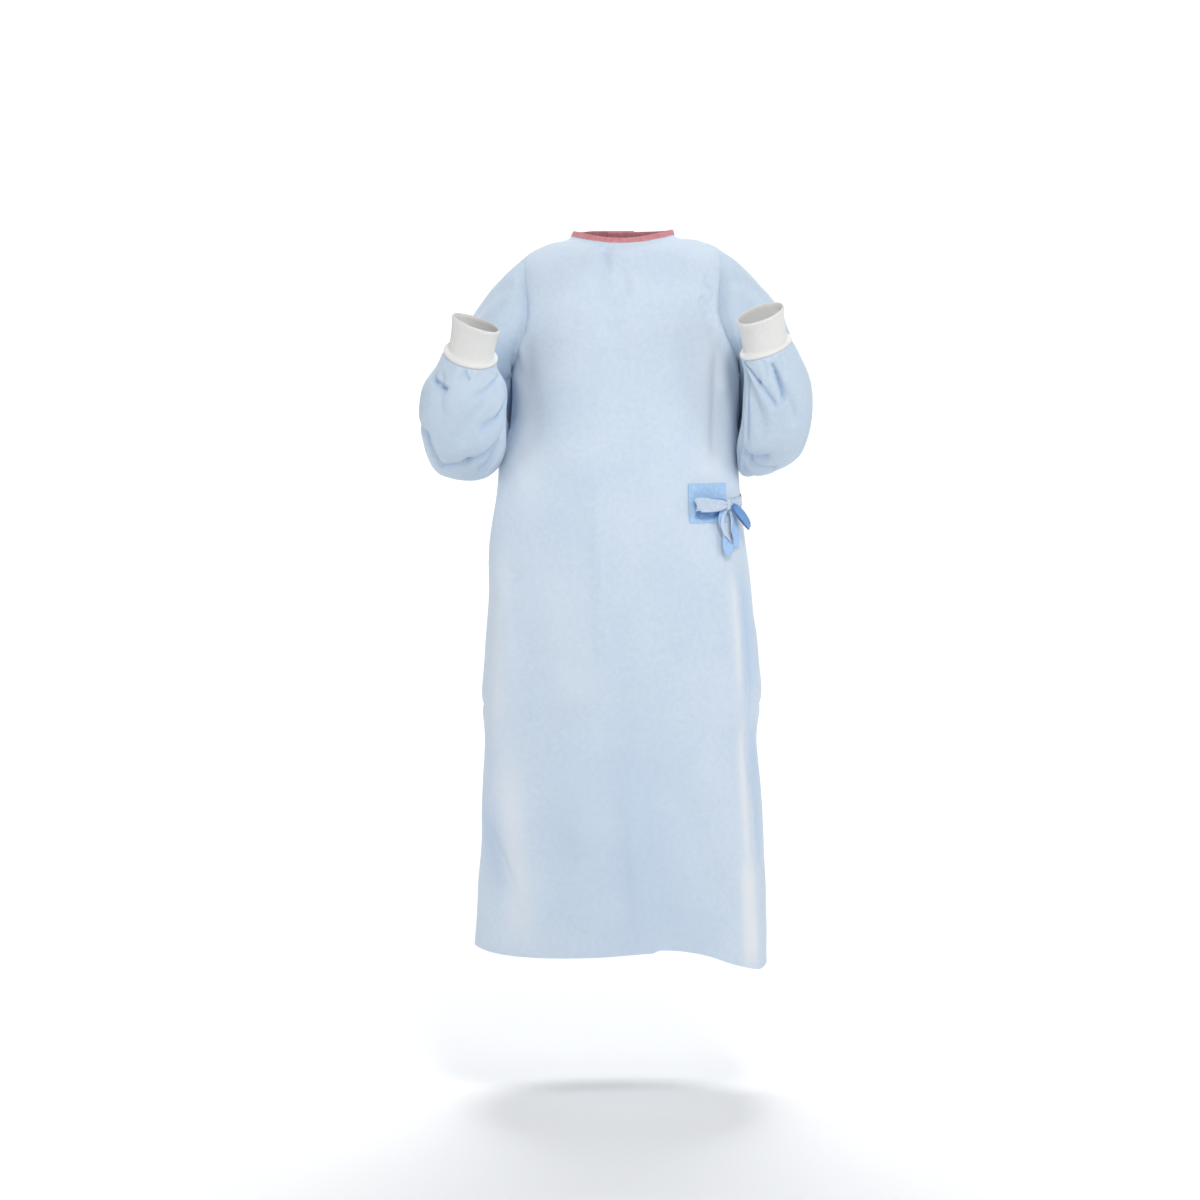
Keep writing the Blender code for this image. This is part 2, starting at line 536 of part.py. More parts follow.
def sleeve_folds(folds, share, angles):
    # How far the cloth moves out at each ring and angle.
    depth = np.zeros((len(share), len(angles)))
    along = share[:, None] * SLEEVE_LENGTH
    for row in folds:
        fold = dict(zip(SLEEVE_FOLD_COLUMNS, row))
        around = ((angles - fold["from_angle"] + 180) % 360 - 180)[None, :]
        across = np.radians(around) * SLEEVE_RADIUS
        run = (fold["to_along"] - fold["from_along"]) * SLEEVE_LENGTH
        sweep = np.radians(fold["to_angle"] - fold["from_angle"]) * SLEEVE_RADIUS
        up = along - fold["from_along"] * SLEEVE_LENGTH
        part = np.clip((up * run + across * sweep) / (run * run + sweep * sweep), 0, 1)
        away = np.hypot(up - part * run, across - part * sweep)
        depth += fold["depth"] * np.exp(-((away / fold["width"]) ** 2))
    return depth


def grid_normals(points):
    # Normals of a tube of points, pointing out of it.
    around = np.roll(points, -1, axis=1) - np.roll(points, 1, axis=1)
    along = np.gradient(points, axis=0)
    normal = unit(np.cross(around, along))
    outward = points - points.mean(axis=1, keepdims=True)
    return normal * np.sign(np.sum(normal * outward))


def make_sleeve(name, side, stations, cuff, folds):
    angles = np.arange(2 * ARMHOLE_ROWS) * 180.0 / ARMHOLE_ROWS
    points, into = sleeve_points(side, stations, cuff, angles)
    share = np.linspace(0, 1, SLEEVE_RINGS + 1)
    ends = ease(share / FOLD_START) * ease((1 - share) / FOLD_END)
    normal = grid_normals(points)
    points = points + normal * (sleeve_folds(folds, share, angles) * ends[:, None])[..., None]
    normal = grid_normals(points)
    toward_panel = np.maximum(np.sum(normal[0] * into, axis=-1, keepdims=True), 0)
    normal[0] = unit(normal[0] - toward_panel * into)
    quarter = len(angles) // 4
    last = points[-1]
    axis = unit(np.cross(last[quarter] - last[-quarter], last[0] - last[2 * quarter]))
    normal[-1] = unit(normal[-1] - np.sum(normal[-1] * axis, axis=-1, keepdims=True) * axis)
    make_wall(name, points, points - normal * WALL, PANEL_BLUE, tube=True)


def make_cuff(name, side, cuff):
    angles = np.arange(CUFF_SIDES) * 360.0 / CUFF_SIDES
    profile = table(CUFF_PROFILE_COLUMNS, CUFF_PROFILE)
    rows = list(zip(profile["along"], profile["outer"], profile["inner"]))
    outer = np.array([cuff_ring(cuff, side, along, radius, angles) for along, radius, _ in rows])
    inner = np.array([cuff_ring(cuff, side, along, radius, angles) for along, _, radius in rows])
    make_wall(name, outer, inner, KNIT_WHITE, KNIT_ROUGHNESS, tube=True)


def make_binding():
    # A folded tape on the neck edge, from the inner panel's edge round the front to the wrap's edge.
    low, high = NECK_LEVEL + SEAM_GAP, BINDING_TOP_LEVEL
    middle = -WALL / 2
    half, corner = BINDING_WALL / 2, BINDING_CORNER
    profile = (
        (low, middle + half - corner / 2),
        (low + corner, middle + half),
        (high - corner, middle + half),
        (high, middle + half - corner),
        (high, middle - half + corner),
        (high - corner, middle - half),
        (low + corner, middle - half),
        (low, middle - half + corner / 2),
    )
    angle = np.linspace(BINDING_START, BINDING_END, BINDING_STEPS + 1)
    rings = np.array([panel_point(angle, np.full(len(angle), level), out) for level, out in profile])
    make_bar("neck_binding", rings.transpose(1, 0, 2), BINDING_PINK)


def make_bar(name, rings, colour):
    # A closed bar through rings of points, with flat ends.
    count, size = rings.shape[:2]
    faces = [tuple(reversed(range(size))), tuple((count - 1) * size + k for k in range(size))]
    for i in range(count - 1):
        for k in range(size):
            a, b = i * size + k, i * size + (k + 1) % size
            faces.append((a, b, b + size, a + size))
    make_object(name, rings.reshape(-1, 3), faces, colour)


def panel_grid(angles, levels, cells):
    return np.meshgrid(np.linspace(*angles, cells[0] + 1), np.linspace(*levels, cells[1] + 1))


def make_patch():
    angle, level = panel_grid(PATCH_ANGLES, PATCH_LEVELS, PATCH_CELLS)
    outer = panel_point(angle, level, LIE_GAP + PATCH_WALL)
    make_wall("tie_patch", outer, panel_point(angle, level, LIE_GAP), PATCH_BLUE)


def make_waist_tie():
    # Lies on the wrap at its sewn end, then on the back and front panels as far as the knot.
    tie = table(WAIST_TIE_COLUMNS, WAIST_TIE)
    order = np.arange(len(WAIST_TIE))
    place = np.linspace(0, order[-1], WAIST_TIE_STEPS + 1)
    at = {column: smooth(place, order, tie[column]) for column in WAIST_TIE_COLUMNS}
    edge = 360 + smooth(np.array([KNOT_LEVEL]), EDGES["level"], EDGES["outer"])[0]
    over = ease((at["angle"] - edge + WAIST_TIE_STEP_FROM) / STEP_DEGREES)
    lift = LIE_GAP + over * lap_lift(at["angle"] - 360, at["level"])
    lift += KNOT_LIFT * ease((KNOT_LIFT_FROM - at["angle"]) / KNOT_LIFT_DEGREES)
    share = np.array([-1.0, 0.0, 1.0])
    level = at["level"][:, None] + at["half"][:, None] * share
    angle, lift = (np.repeat(value[:, None], len(share), axis=1) for value in (at["angle"], lift))
    outer = panel_point(angle, level, lift + TIE_WALL)
    make_wall("waist_tie", outer, panel_point(angle, level, lift), TIE_BLUE)


def knot_frame(side, up):
    # The point of the front panel this far along and up from the knot, and the directions there.
    level = KNOT_LEVEL + up
    angle = KNOT_ANGLE + degrees_for(side, KNOT_ANGLE, level)
    out = body_normal(angle, level)
    upward = np.array([0.0, 0.0, 1.0])
    return body(angle, level), unit(np.cross(upward, out)), out, upward


def make_ribbon(name, rows, steps):
    # A flat tie through the rows' points. Its width leans as each row says.
    ribbon = table(RIBBON_COLUMNS, rows)
    order = np.arange(len(rows))
    place = np.linspace(0, len(rows) - 1, steps + 1)
    at = {column: smooth(place, order, ribbon[column]) for column in RIBBON_COLUMNS}
    foot, side, out, up = knot_frame(at["side"], at["up"])
    at = {column: values[:, None] for column, values in at.items()}
    middle = foot + at["out"] * out
    turn, lean = np.radians(at["turn"]), np.radians(at["lean"])
    width = np.cos(lean) * (np.cos(turn) * up + np.sin(turn) * out) + np.sin(lean) * side
    normal = unit(np.cross(np.gradient(middle, axis=0), width))
    share = np.array([-1.0, 0.0, 1.0])[None, :, None]
    sheet = middle[:, None] + width[:, None] * share * at["half"][:, None]
    shift = normal[:, None] * TIE_WALL / 2
    make_wall(name, sheet + shift, sheet - shift, TIE_BLUE)


def make_knot():
    foot, side, out, up = knot_frame(0.0, 0.0)
    shape = bmesh.new()
    bmesh.ops.create_uvsphere(shape, u_segments=KNOT_CELLS[0], v_segments=KNOT_CELLS[1], radius=1.0)
    points = []
    for vert in shape.verts:
        x, y, z = (math.copysign(abs(value) ** KNOT_SQUARE / 2, value) for value in vert.co)
        across = side * x * KNOT_WIDTH + up * z * KNOT_HEIGHT
        points.append(foot + across + out * (KNOT_OUT + y * KNOT_DEPTH))
    shape.verts.index_update()
    faces = [tuple(vert.index for vert in face.verts) for face in shape.faces]
    shape.free()
    make_object("bow_knot", points, faces, TIE_BLUE)


def make_bow():
    make_knot()
    make_ribbon("bow_loop_right", LOOP_RIGHT, LOOP_STEPS)
    make_ribbon("bow_loop_left", LOOP_LEFT, LOOP_STEPS)
    make_ribbon("bow_tail_right", TAIL_RIGHT, TAIL_RIGHT_STEPS)
    make_ribbon("bow_tail_left", TAIL_LEFT, TAIL_LEFT_STEPS)


def make_tab():
    # Sewn on the wrap near the neck, it steps down past the wrap's edge to hold on the inner panel.
    angle, level = panel_grid(TAB_ANGLES, TAB_LEVELS, TAB_CELLS)
    edge = smooth(level, EDGES["level"], EDGES["outer"])
    past = ease((edge - TAB_STEP_FROM - angle) / STEP_DEGREES)
    lift = LIE_GAP - past * lap_lift(angle, level)
    outer = panel_point(angle, level, lift + TAB_WALL)
    make_wall("neck_tab", outer, panel_point(angle, level, lift), TAB_WHITE)


def main():
    for obj in list(bpy.data.objects):
        bpy.data.objects.remove(obj, do_unlink=True)
    make_body()
    make_sleeve("sleeve_right", -1, SLEEVE_RIGHT, CUFF_RIGHT, SLEEVE_FOLDS_RIGHT)
    make_sleeve("sleeve_left", 1, SLEEVE_LEFT, CUFF_LEFT, SLEEVE_FOLDS_LEFT)
    make_cuff("cuff_right", -1, CUFF_RIGHT)
    make_cuff("cuff_left", 1, CUFF_LEFT)
    make_binding()
    make_tab()
    make_patch()
    make_waist_tie()
    make_bow()


main()
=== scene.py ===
import math

import bpy
import bmesh
import numpy as np
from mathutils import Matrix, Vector, kdtree


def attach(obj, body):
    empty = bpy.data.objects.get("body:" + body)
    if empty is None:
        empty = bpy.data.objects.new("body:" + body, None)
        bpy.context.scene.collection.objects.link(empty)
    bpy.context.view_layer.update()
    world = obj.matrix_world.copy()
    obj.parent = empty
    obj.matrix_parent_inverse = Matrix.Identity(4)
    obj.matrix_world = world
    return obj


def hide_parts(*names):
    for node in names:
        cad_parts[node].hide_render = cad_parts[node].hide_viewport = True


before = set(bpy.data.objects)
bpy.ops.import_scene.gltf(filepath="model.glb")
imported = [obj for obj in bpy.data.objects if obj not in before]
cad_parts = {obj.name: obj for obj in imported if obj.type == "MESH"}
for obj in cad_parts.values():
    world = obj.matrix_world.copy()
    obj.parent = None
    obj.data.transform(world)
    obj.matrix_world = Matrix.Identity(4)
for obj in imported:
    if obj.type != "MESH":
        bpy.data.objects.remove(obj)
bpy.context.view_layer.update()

# Metres, +Z up, the gown's front towards -Y, the wearer's left at +X; the origin is between the shoulders.
# Levels run up the side of the body; angles are degrees round it from the front, plus to the wearer's left.
gown = {
    "hem": -1.220,
    "waist": -0.500,
    "underarm": -0.240,
    "shoulder": -0.030,
    "neck": 0.050,
    "bindingTop": 0.060,
    "cloth": 0.0005,  # nonwoven, with its loft
    "frontSquare": 0.40,  # the front lies flatter between the sleeves
    "squareLevels": (-0.47, -0.36, -0.20, -0.12),
    "frontCut": 37.0,  # how far the armhole cuts into the front, in degrees
    "backCut": 32.0,
    "hemFade": 0.50,
    "rows": {"skirt": 124, "waist": 46, "armhole": 46, "shoulder": 20},
    "seamPoints": {"side": 840, "armhole": 288, "shoulder": 108},
    "seamDip": 0.0006,  # the groove along a seam
    "seamDipWidth": 0.0020,
    "puckerDepth": 0.0005,  # ripples across a seam
    "puckerPitch": 0.017,
    "puckerWidth": 0.011,
}

bodyColumns = ("level", "zRight", "zLeft", "zFront", "zBack", "right", "left", "front", "back", "square")
bodyRows = (
    (-1.220, -1.223, -1.236, -1.214, -1.226, 0.250, 0.254, 0.174, 0.196, 2.30),
    (-1.080, -1.080, -1.082, -1.080, -1.080, 0.240, 0.250, 0.166, 0.182, 2.30),
    (-0.940, -0.940, -0.940, -0.940, -0.940, 0.237, 0.244, 0.161, 0.170, 2.30),
    (-0.860, -0.860, -0.860, -0.860, -0.860, 0.234, 0.237, 0.158, 0.163, 2.30),
    (-0.800, -0.800, -0.800, -0.800, -0.800, 0.239, 0.245, 0.156, 0.159, 2.30),
    (-0.730, -0.730, -0.730, -0.730, -0.730, 0.233, 0.240, 0.154, 0.155, 2.30),
    (-0.630, -0.630, -0.630, -0.630, -0.630, 0.226, 0.231, 0.151, 0.148, 2.30),
    (-0.530, -0.530, -0.530, -0.530, -0.530, 0.223, 0.217, 0.148, 0.140, 2.30),
    (-0.445, -0.445, -0.445, -0.445, -0.445, 0.209, 0.206, 0.143, 0.132, 2.30),
    (-0.390, -0.390, -0.390, -0.390, -0.390, 0.204, 0.203, 0.139, 0.127, 2.30),
    (-0.310, -0.310, -0.310, -0.310, -0.310, 0.184, 0.203, 0.134, 0.122, 2.30),
    (-0.240, -0.240, -0.240, -0.246, -0.240, 0.184, 0.202, 0.129, 0.117, 2.30),
    (-0.130, -0.138, -0.130, -0.168, -0.145, 0.188, 0.200, 0.123, 0.110, 2.25),
    (-0.030, -0.043, -0.032, -0.096, -0.062, 0.158, 0.166, 0.115, 0.098, 2.15),
    (0.010, -0.024, -0.018, -0.057, -0.033, 0.121, 0.130, 0.103, 0.081, 2.05),
    (0.050, -0.0110, -0.0080, -0.0255, -0.0090, 0.083, 0.092, 0.088, 0.062, 2.0),
    (0.060, -0.0020, 0.0010, -0.0175, 0.0005, 0.079, 0.089, 0.083, 0.058, 2.0),
)

# Long folds of the body: top and low level, angle at both, width, depth (plus is a ridge), fade at both ends.
foldRows = (
    (0.045, -0.260, -17.0, 6.0, 7.0, -0.0050, 0.020, 0.160),
    (-0.440, -1.220, -10.0, 6.0, 7.0, -0.0035, 0.100, 0.010),
    (-0.540, -0.900, 54.0, 49.5, 8.0, 0.0090, 0.080, 0.300),
    (-0.780, -1.230, 52.0, 58.0, 8.0, 0.0080, 0.200, 0.010),
    (-0.530, -1.180, 71.0, 69.0, 9.0, -0.0170, 0.080, 0.300),
    (-0.180, -0.460, 49.0, 50.0, 6.0, -0.0055, 0.050, 0.150),
    (-0.190, -0.330, 67.0, 66.0, 7.0, 0.0050, 0.040, 0.080),
    (-0.150, -0.400, -52.0, -47.0, 7.0, -0.0050, 0.050, 0.150),
    (-0.520, -1.220, -58.0, -52.0, 9.0, 0.0060, 0.200, 0.010),
    (-0.560, -1.220, -36.0, -30.0, 9.0, -0.0045, 0.200, 0.010),
    (-0.420, -1.220, 140.0, 146.0, 10.0, -0.0110, 0.250, 0.010),
    (-0.480, -1.220, 166.0, 172.0, 11.0, 0.0080, 0.250, 0.010),
    (-0.440, -1.220, -163.0, -160.0, 10.0, -0.0080, 0.250, 0.010),
    (-0.380, -1.220, -136.0, -128.0, 11.0, 0.0100, 0.300, 0.010),
    (-0.500, -1.220, -112.0, -106.0, 9.0, -0.0100, 0.300, 0.010),
    (-0.060, -0.360, -150.0, -158.0, 9.0, -0.0050, 0.060, 0.160),
    (-0.080, -0.380, 150.0, 156.0, 9.0, -0.0050, 0.060, 0.160),
)

hemColumns = ("angle", "drop")
hemRows = (
    (-180.0, 0.004), (-120.0, 0.006), (-75.0, 0.000), (-40.0, 0.003), (-5.0, 0.000), (14.0, -0.007),
    (32.0, -0.005), (46.0, 0.011), (60.0, 0.021), (90.0, 0.013), (130.0, 0.000), (180.0, 0.004),
)

hemNick = {"from": 13.2, "sharp": 0.9, "to": 36.0, "fade": 20.0, "rise": 0.0050}  # where two cuts meet
wrap = {  # the wearer's right back panel lies over the left one
    "lift": 0.0052,
    "liftFrom": -122.0,
    "liftTo": -150.0,
    "flare": 0.007,
    "flareFrom": -215.0,
    "flareDegrees": 30.0,
    "flareHeight": 0.70,
}
edgeColumns = ("level", "outer", "inner")
edgeRows = (
    (-1.220, -247.0, 209.0), (-0.900, -246.0, 208.0), (-0.500, -242.5, 206.0),
    (-0.240, -229.0, 203.0), (-0.060, -211.0, 199.0), (0.060, -197.0, 196.0),
)

# Creases pressed or pulled into the cloth: across (x, or y on the sides) and up (z) at each end, then bend,
# width, depth (plus is a ridge) and sharp, which is 2 for a soft trough and nearer 1 for a pressed edge.
creaseTaper = 0.3  # share of a crease over which each end fades
frontCreases = (
    (-0.029, -0.030, -0.014, -0.079, 0.004, 0.006, -0.0034, 1.7),  # under the neckline
    (-0.014, -0.056, 0.013, -0.122, -0.004, 0.010, -0.0044, 2.0),
    (0.003, -0.038, 0.032, -0.125, -0.006, 0.013, 0.0027, 2.0),
    (-0.052, -0.046, -0.078, -0.082, 0.003, 0.009, -0.0017, 2.0),
    (-0.112, -0.052, -0.094, -0.110, 0.004, 0.010, -0.0017, 2.0),
    (0.100, -0.048, 0.112, -0.098, 0.003, 0.012, -0.0015, 2.0),
    (0.138, -0.084, 0.160, -0.094, 0.002, 0.008, -0.0051, 1.8),  # beside the wearer's left armhole
    (0.130, -0.112, 0.158, -0.134, 0.003, 0.006, -0.0058, 1.5),
    (0.128, -0.100, 0.158, -0.112, 0.002, 0.008, 0.0027, 2.0),
    (0.143, -0.140, 0.164, -0.170, 0.003, 0.008, -0.0027, 1.8),
    (-0.187, -0.157, -0.166, -0.184, 0.003, 0.008, -0.0054, 1.8),  # beside the wearer's right armhole
    (-0.172, -0.128, -0.150, -0.196, 0.005, 0.010, -0.0027, 1.8),
    (-0.180, -0.200, -0.158, -0.262, 0.004, 0.011, -0.0034, 2.0),
    (0.027, -0.214, 0.029, -0.266, 0.001, 0.005, -0.0019, 1.8),
    (-0.020, -0.150, 0.004, -0.236, 0.004, 0.016, -0.0024, 2.0),
    (0.062, -0.178, 0.054, -0.250, 0.003, 0.018, -0.0020, 2.0),
    (-0.174, -0.282, -0.030, -0.492, 0.018, 0.034, -0.0061, 2.0),  # across the belly
    (-0.196, -0.330, -0.110, -0.452, 0.010, 0.016, -0.0031, 2.0),
    (0.160, -0.187, 0.156, -0.408, 0.002, 0.006, -0.0034, 1.5),  # down from the wearer's left armhole
    (0.174, -0.190, 0.176, -0.292, 0.003, 0.012, 0.0058, 2.0),
    (0.112, -0.374, 0.168, -0.388, 0.003, 0.008, -0.0022, 1.8),
    (0.094, -0.404, 0.150, -0.424, 0.003, 0.010, -0.0020, 1.8),
    (-0.041, -0.414, -0.024, -0.800, 0.003, 0.011, 0.0082, 1.1),  # pressed down the middle in packing
    (-0.024, -0.796, 0.032, -1.200, -0.008, 0.014, 0.0044, 1.3),
    (0.016, -0.824, 0.038, -1.210, 0.003, 0.012, 0.0037, 1.8),
    (-0.232, -0.812, -0.034, -0.804, 0.002, 0.009, -0.0051, 1.2),  # pressed across in packing
    (-0.034, -0.804, 0.190, -0.800, -0.002, 0.009, -0.0017, 1.3),
    (-0.206, -0.550, -0.164, -0.588, 0.004, 0.006, -0.0037, 1.6),
    (-0.196, -0.594, -0.150, -0.552, 0.003, 0.006, -0.0029, 1.6),
    (-0.200, -0.520, -0.184, -0.660, 0.006, 0.014, 0.0044, 2.0),
    (-0.190, -0.640, -0.172, -0.790, 0.004, 0.016, 0.0037, 2.0),
    (-0.206, -0.830, -0.186, -1.060, 0.008, 0.022, 0.0058, 2.0),
    (-0.232, -0.990, -0.148, -1.200, 0.010, 0.018, -0.0078, 1.8),
    (-0.128, -0.985, -0.062, -1.080, 0.006, 0.030, -0.0058, 2.0),
    (-0.112, -1.060, -0.088, -1.205, 0.004, 0.026, -0.0044, 2.0),
    (-0.222, -0.975, -0.166, -1.140, 0.004, 0.007, -0.0062, 1.5),
    (0.050, -0.870, 0.192, -1.180, -0.012, 0.034, -0.0119, 2.0),
    (0.198, -0.552, 0.213, -0.900, 0.003, 0.008, -0.0060, 1.4),
    (0.090, -0.850, 0.184, -1.000, -0.008, 0.022, 0.0044, 2.0),
    (0.082, -1.110, 0.074, -1.215, 0.003, 0.018, -0.0048, 2.0),
    (0.124, -0.560, 0.140, -0.760, -0.004, 0.026, -0.0044, 2.0),
    (0.060, -0.600, 0.082, -0.740, 0.004, 0.030, -0.0031, 2.0),
    (-0.100, -0.640, -0.082, -0.760, 0.003, 0.020, -0.0027, 2.0),
)
backCreases = (
    (0.004, -0.300, -0.006, -0.800, 0.004, 0.012, 0.0050, 1.2),  # pressed down the middle
    (-0.006, -0.796, 0.020, -1.210, 0.006, 0.014, 0.0039, 1.4),
    (-0.220, -0.806, 0.226, -0.800, 0.002, 0.009, -0.0034, 1.2),  # pressed across
    (-0.214, -0.414, 0.200, -0.420, -0.002, 0.010, -0.0017, 1.3),
    (-0.150, -0.090, -0.110, -0.230, 0.008, 0.014, -0.0036, 1.9),
    (0.140, -0.090, 0.104, -0.220, -0.007, 0.014, -0.0034, 1.9),
    (-0.060, -0.060, -0.084, -0.190, 0.004, 0.015, -0.0025, 2.0),
    (0.050, -0.070, 0.070, -0.180, 0.004, 0.014, -0.0022, 2.0),
    (-0.176, -0.260, -0.060, -0.420, 0.014, 0.026, -0.0048, 2.0),
    (0.170, -0.270, 0.070, -0.410, -0.012, 0.024, -0.0042, 2.0),
    (-0.110, -0.440, -0.136, -0.700, 0.008, 0.020, -0.0042, 2.0),
    (0.120, -0.460, 0.144, -0.720, -0.006, 0.022, -0.0039, 2.0),
    (-0.062, -0.860, -0.150, -1.190, 0.012, 0.030, -0.0078, 2.0),
    (0.070, -0.880, 0.160, -1.180, -0.010, 0.030, -0.0070, 2.0),
    (-0.190, -0.900, -0.176, -1.150, 0.006, 0.020, 0.0042, 2.0),
    (0.020, -0.520, 0.040, -0.690, 0.003, 0.018, -0.0025, 2.0),
    (-0.042, -0.560, -0.030, -0.700, 0.003, 0.016, 0.0022, 2.0),
)
sideCreases = (
    (-0.060, -0.300, 0.040, -0.360, 0.008, 0.012, -0.0031, 1.8),
    (0.050, -0.270, 0.000, -0.420, 0.006, 0.014, -0.0031, 2.0),
    (-0.020, -0.480, 0.010, -0.700, 0.006, 0.018, -0.0036, 2.0),
    (0.060, -0.560, 0.084, -0.800, 0.005, 0.018, 0.0034, 2.0),
    (-0.090, -0.808, 0.110, -0.802, 0.002, 0.009, -0.0034, 1.2),
    (0.020, -0.840, 0.050, -1.150, 0.008, 0.024, -0.0056, 2.0),
    (-0.050, -0.900, -0.030, -1.190, 0.006, 0.020, 0.0039, 2.0),
    (0.110, -0.930, 0.128, -1.190, 0.005, 0.022, -0.0050, 2.0),
)

# Painted light and shade on the front, placed like those creases: plus paints the cloth paler, a painted
# highlight; minus paints it bluer, a painted shade.
paintedLightBands = (
    (-0.196, -0.480, -0.206, -0.900, 0.004, 0.024, 0.34, 2.0),
    (-0.192, -0.820, -0.160, -1.250, 0.004, 0.024, 0.50, 2.2),
    (-0.226, -0.950, -0.182, -1.150, 0.006, 0.018, -0.36, 2.4),
    (0.186, -0.549, 0.203, -0.820, -0.002, 0.007, 0.75, 1.8),
    (0.203, -0.790, 0.219, -1.100, 0.002, 0.008, 0.80, 1.8),
    (0.214, -1.030, 0.226, -1.280, 0.000, 0.015, 0.90, 3.0),
    (0.200, -0.540, 0.220, -0.840, -0.004, 0.011, -0.50, 2.0),
    (0.222, -0.780, 0.236, -1.100, 0.000, 0.009, -0.35, 2.0),
    (0.020, -0.780, 0.070, -1.300, 0.010, 0.090, -0.26, 2.0),
    (-0.120, -0.560, -0.060, -0.830, 0.000, 0.034, 0.16, 2.0),
    (-0.085, -0.800, -0.100, -1.250, 0.000, 0.040, -0.14, 2.0),
    (-0.160, -0.130, -0.156, -0.500, 0.000, 0.026, 0.36, 2.2),
    (0.152, -0.130, 0.156, -0.500, 0.000, 0.024, 0.40, 2.2),
)

unevenness = {  # the cloth's own waves and fine crumples
    "waves": ((0.120, 0.0016, 11), (0.050, 0.0007, 23)),  # size and height in metres, seed
    "crumple": ((0.060, 0.0009, 37), (0.026, 0.0004, 41)),
    "patches": (3.5, 1.4),  # crumples gather in patches: their size in crumples, and how sharply they end
    "ridge": 2.4,
    "stretchUp": 1.7,
}
reliefEnds = {  # where creases give way to those of the next side, and what is left calm below the neck
    "faceSlope": 2.2,
    "sideFrom": 0.5,
    "sideSlope": 3,
    "creasesBelow": 0.008,
    "wavesBelow": 0.035,
}


def asTable(columns, rows):
    return {name: np.array([row[i] for row in rows], float) for i, name in enumerate(columns)}


bodyTable = asTable(bodyColumns, bodyRows)
edgeTable = asTable(edgeColumns, edgeRows)
hemTable = asTable(hemColumns, hemRows)


def curveThrough(x, xs, ys):  # ys may hold points
    slope = np.gradient(ys, xs, axis=0)
    i = np.clip(np.searchsorted(xs, x, side="right") - 1, 0, len(xs) - 2)
    step = xs[i + 1] - xs[i]
    t = (x - xs[i]) / step
    if ys.ndim > 1:
        step, t = step[..., None], t[..., None]
    start = (1 + 2 * t) * (1 - t) ** 2 * ys[i] + t * (1 - t) ** 2 * step * slope[i]
    return start + t * t * (3 - 2 * t) * ys[i + 1] + t * t * (t - 1) * step * slope[i + 1]


def ease(x):
    x = np.clip(x, 0.0, 1.0)
    return x * x * (3 - 2 * x)


def unit(v):
    return v / np.maximum(np.linalg.norm(v, axis=-1, keepdims=True), 1e-12)


def turnFrom(start, angle):  # degrees, -180 to 180
    return (angle - start + 180) % 360 - 180


def latticeNoise(points, size, seed):  # smooth, -1 to 1, the same each run
    q = points / size
    cell = np.floor(q).astype(np.int64)
    f = q - cell
    f = f * f * (3 - 2 * f)
    total = np.zeros(points.shape[:-1])
    for corner in np.ndindex(2, 2, 2):
        c = cell + np.array(corner)
        n = (c[..., 0] * 73856093) ^ (c[..., 1] * 19349663) ^ (c[..., 2] * 83492791) ^ (seed * 2654435)
        n = ((n ^ (n >> 13)) * 1274126177) & 0x7FFFFFFF
        value = ((n ^ (n >> 15)) & 0xFFFF) / 32767.5 - 1
        weight = np.prod([f[..., k] if corner[k] else 1 - f[..., k] for k in range(3)], axis=0)
        total += value * weight
    return total


def clothWaves(points):
    q = points / np.array([1.0, 1.0, unevenness["stretchUp"]])
    patchSize, patchEdge = unevenness["patches"]
    height = np.zeros(points.shape[:-1])
    for size, depth, seed in unevenness["waves"]:
        height += depth * latticeNoise(q, size, seed)
    for size, depth, seed in unevenness["crumple"]:
        where = ease(0.5 + patchEdge * latticeNoise(q, size * patchSize, seed + 1))
        height += depth * where * (1 - unevenness["ridge"] * np.abs(latticeNoise(q, size, seed)))
    return height


def creaseHeight(a, z, rows):
    height = np.zeros(np.broadcast(a, z).shape)
    for a1, z1, a2, z2, bend, width, depth, sharp in rows:
        da, dz = a2 - a1, z2 - z1
        length = math.hypot(da, dz)
        inside = np.clip(((a - a1) * da + (z - z1) * dz) / length**2, 0, 1)
        off = ((a - a1) * dz - (z - z1) * da) / length - bend * np.sin(math.pi * inside)
        taper = ease(inside / creaseTaper) * ease((1 - inside) / creaseTaper)
        height += depth * taper * np.exp(-np.abs(off / width) ** sharp)
    return height


def bodyFolds(angle, level):
    total = np.zeros(np.broadcast(angle, level).shape)
    for top, low, angleTop, angleLow, width, depth, fadeTop, fadeLow in foldRows:
        middle = angleLow + (angleTop - angleLow) * np.clip((level - low) / (top - low), 0, 1)
        ends = ease((top - level) / fadeTop) * ease((level - low) / fadeLow)
        total += depth * ends * np.exp(-((turnFrom(middle, angle) / width) ** 2))
    return total


def hemDrop(angle, level):  # how far the hem's wavy cut takes the cloth down, fading out above it
    drop = curveThrough(turnFrom(0, angle), hemTable["angle"], hemTable["drop"])
    nick = ease((angle - hemNick["from"]) / hemNick["sharp"])
    nick = nick * ease((hemNick["to"] - angle) / hemNick["fade"]) * (np.cos(np.radians(angle)) > 0)
    drop = drop - hemNick["rise"] * nick
    return drop * ease((gown["hem"] + gown["hemFade"] - level) / gown["hemFade"]) ** 2


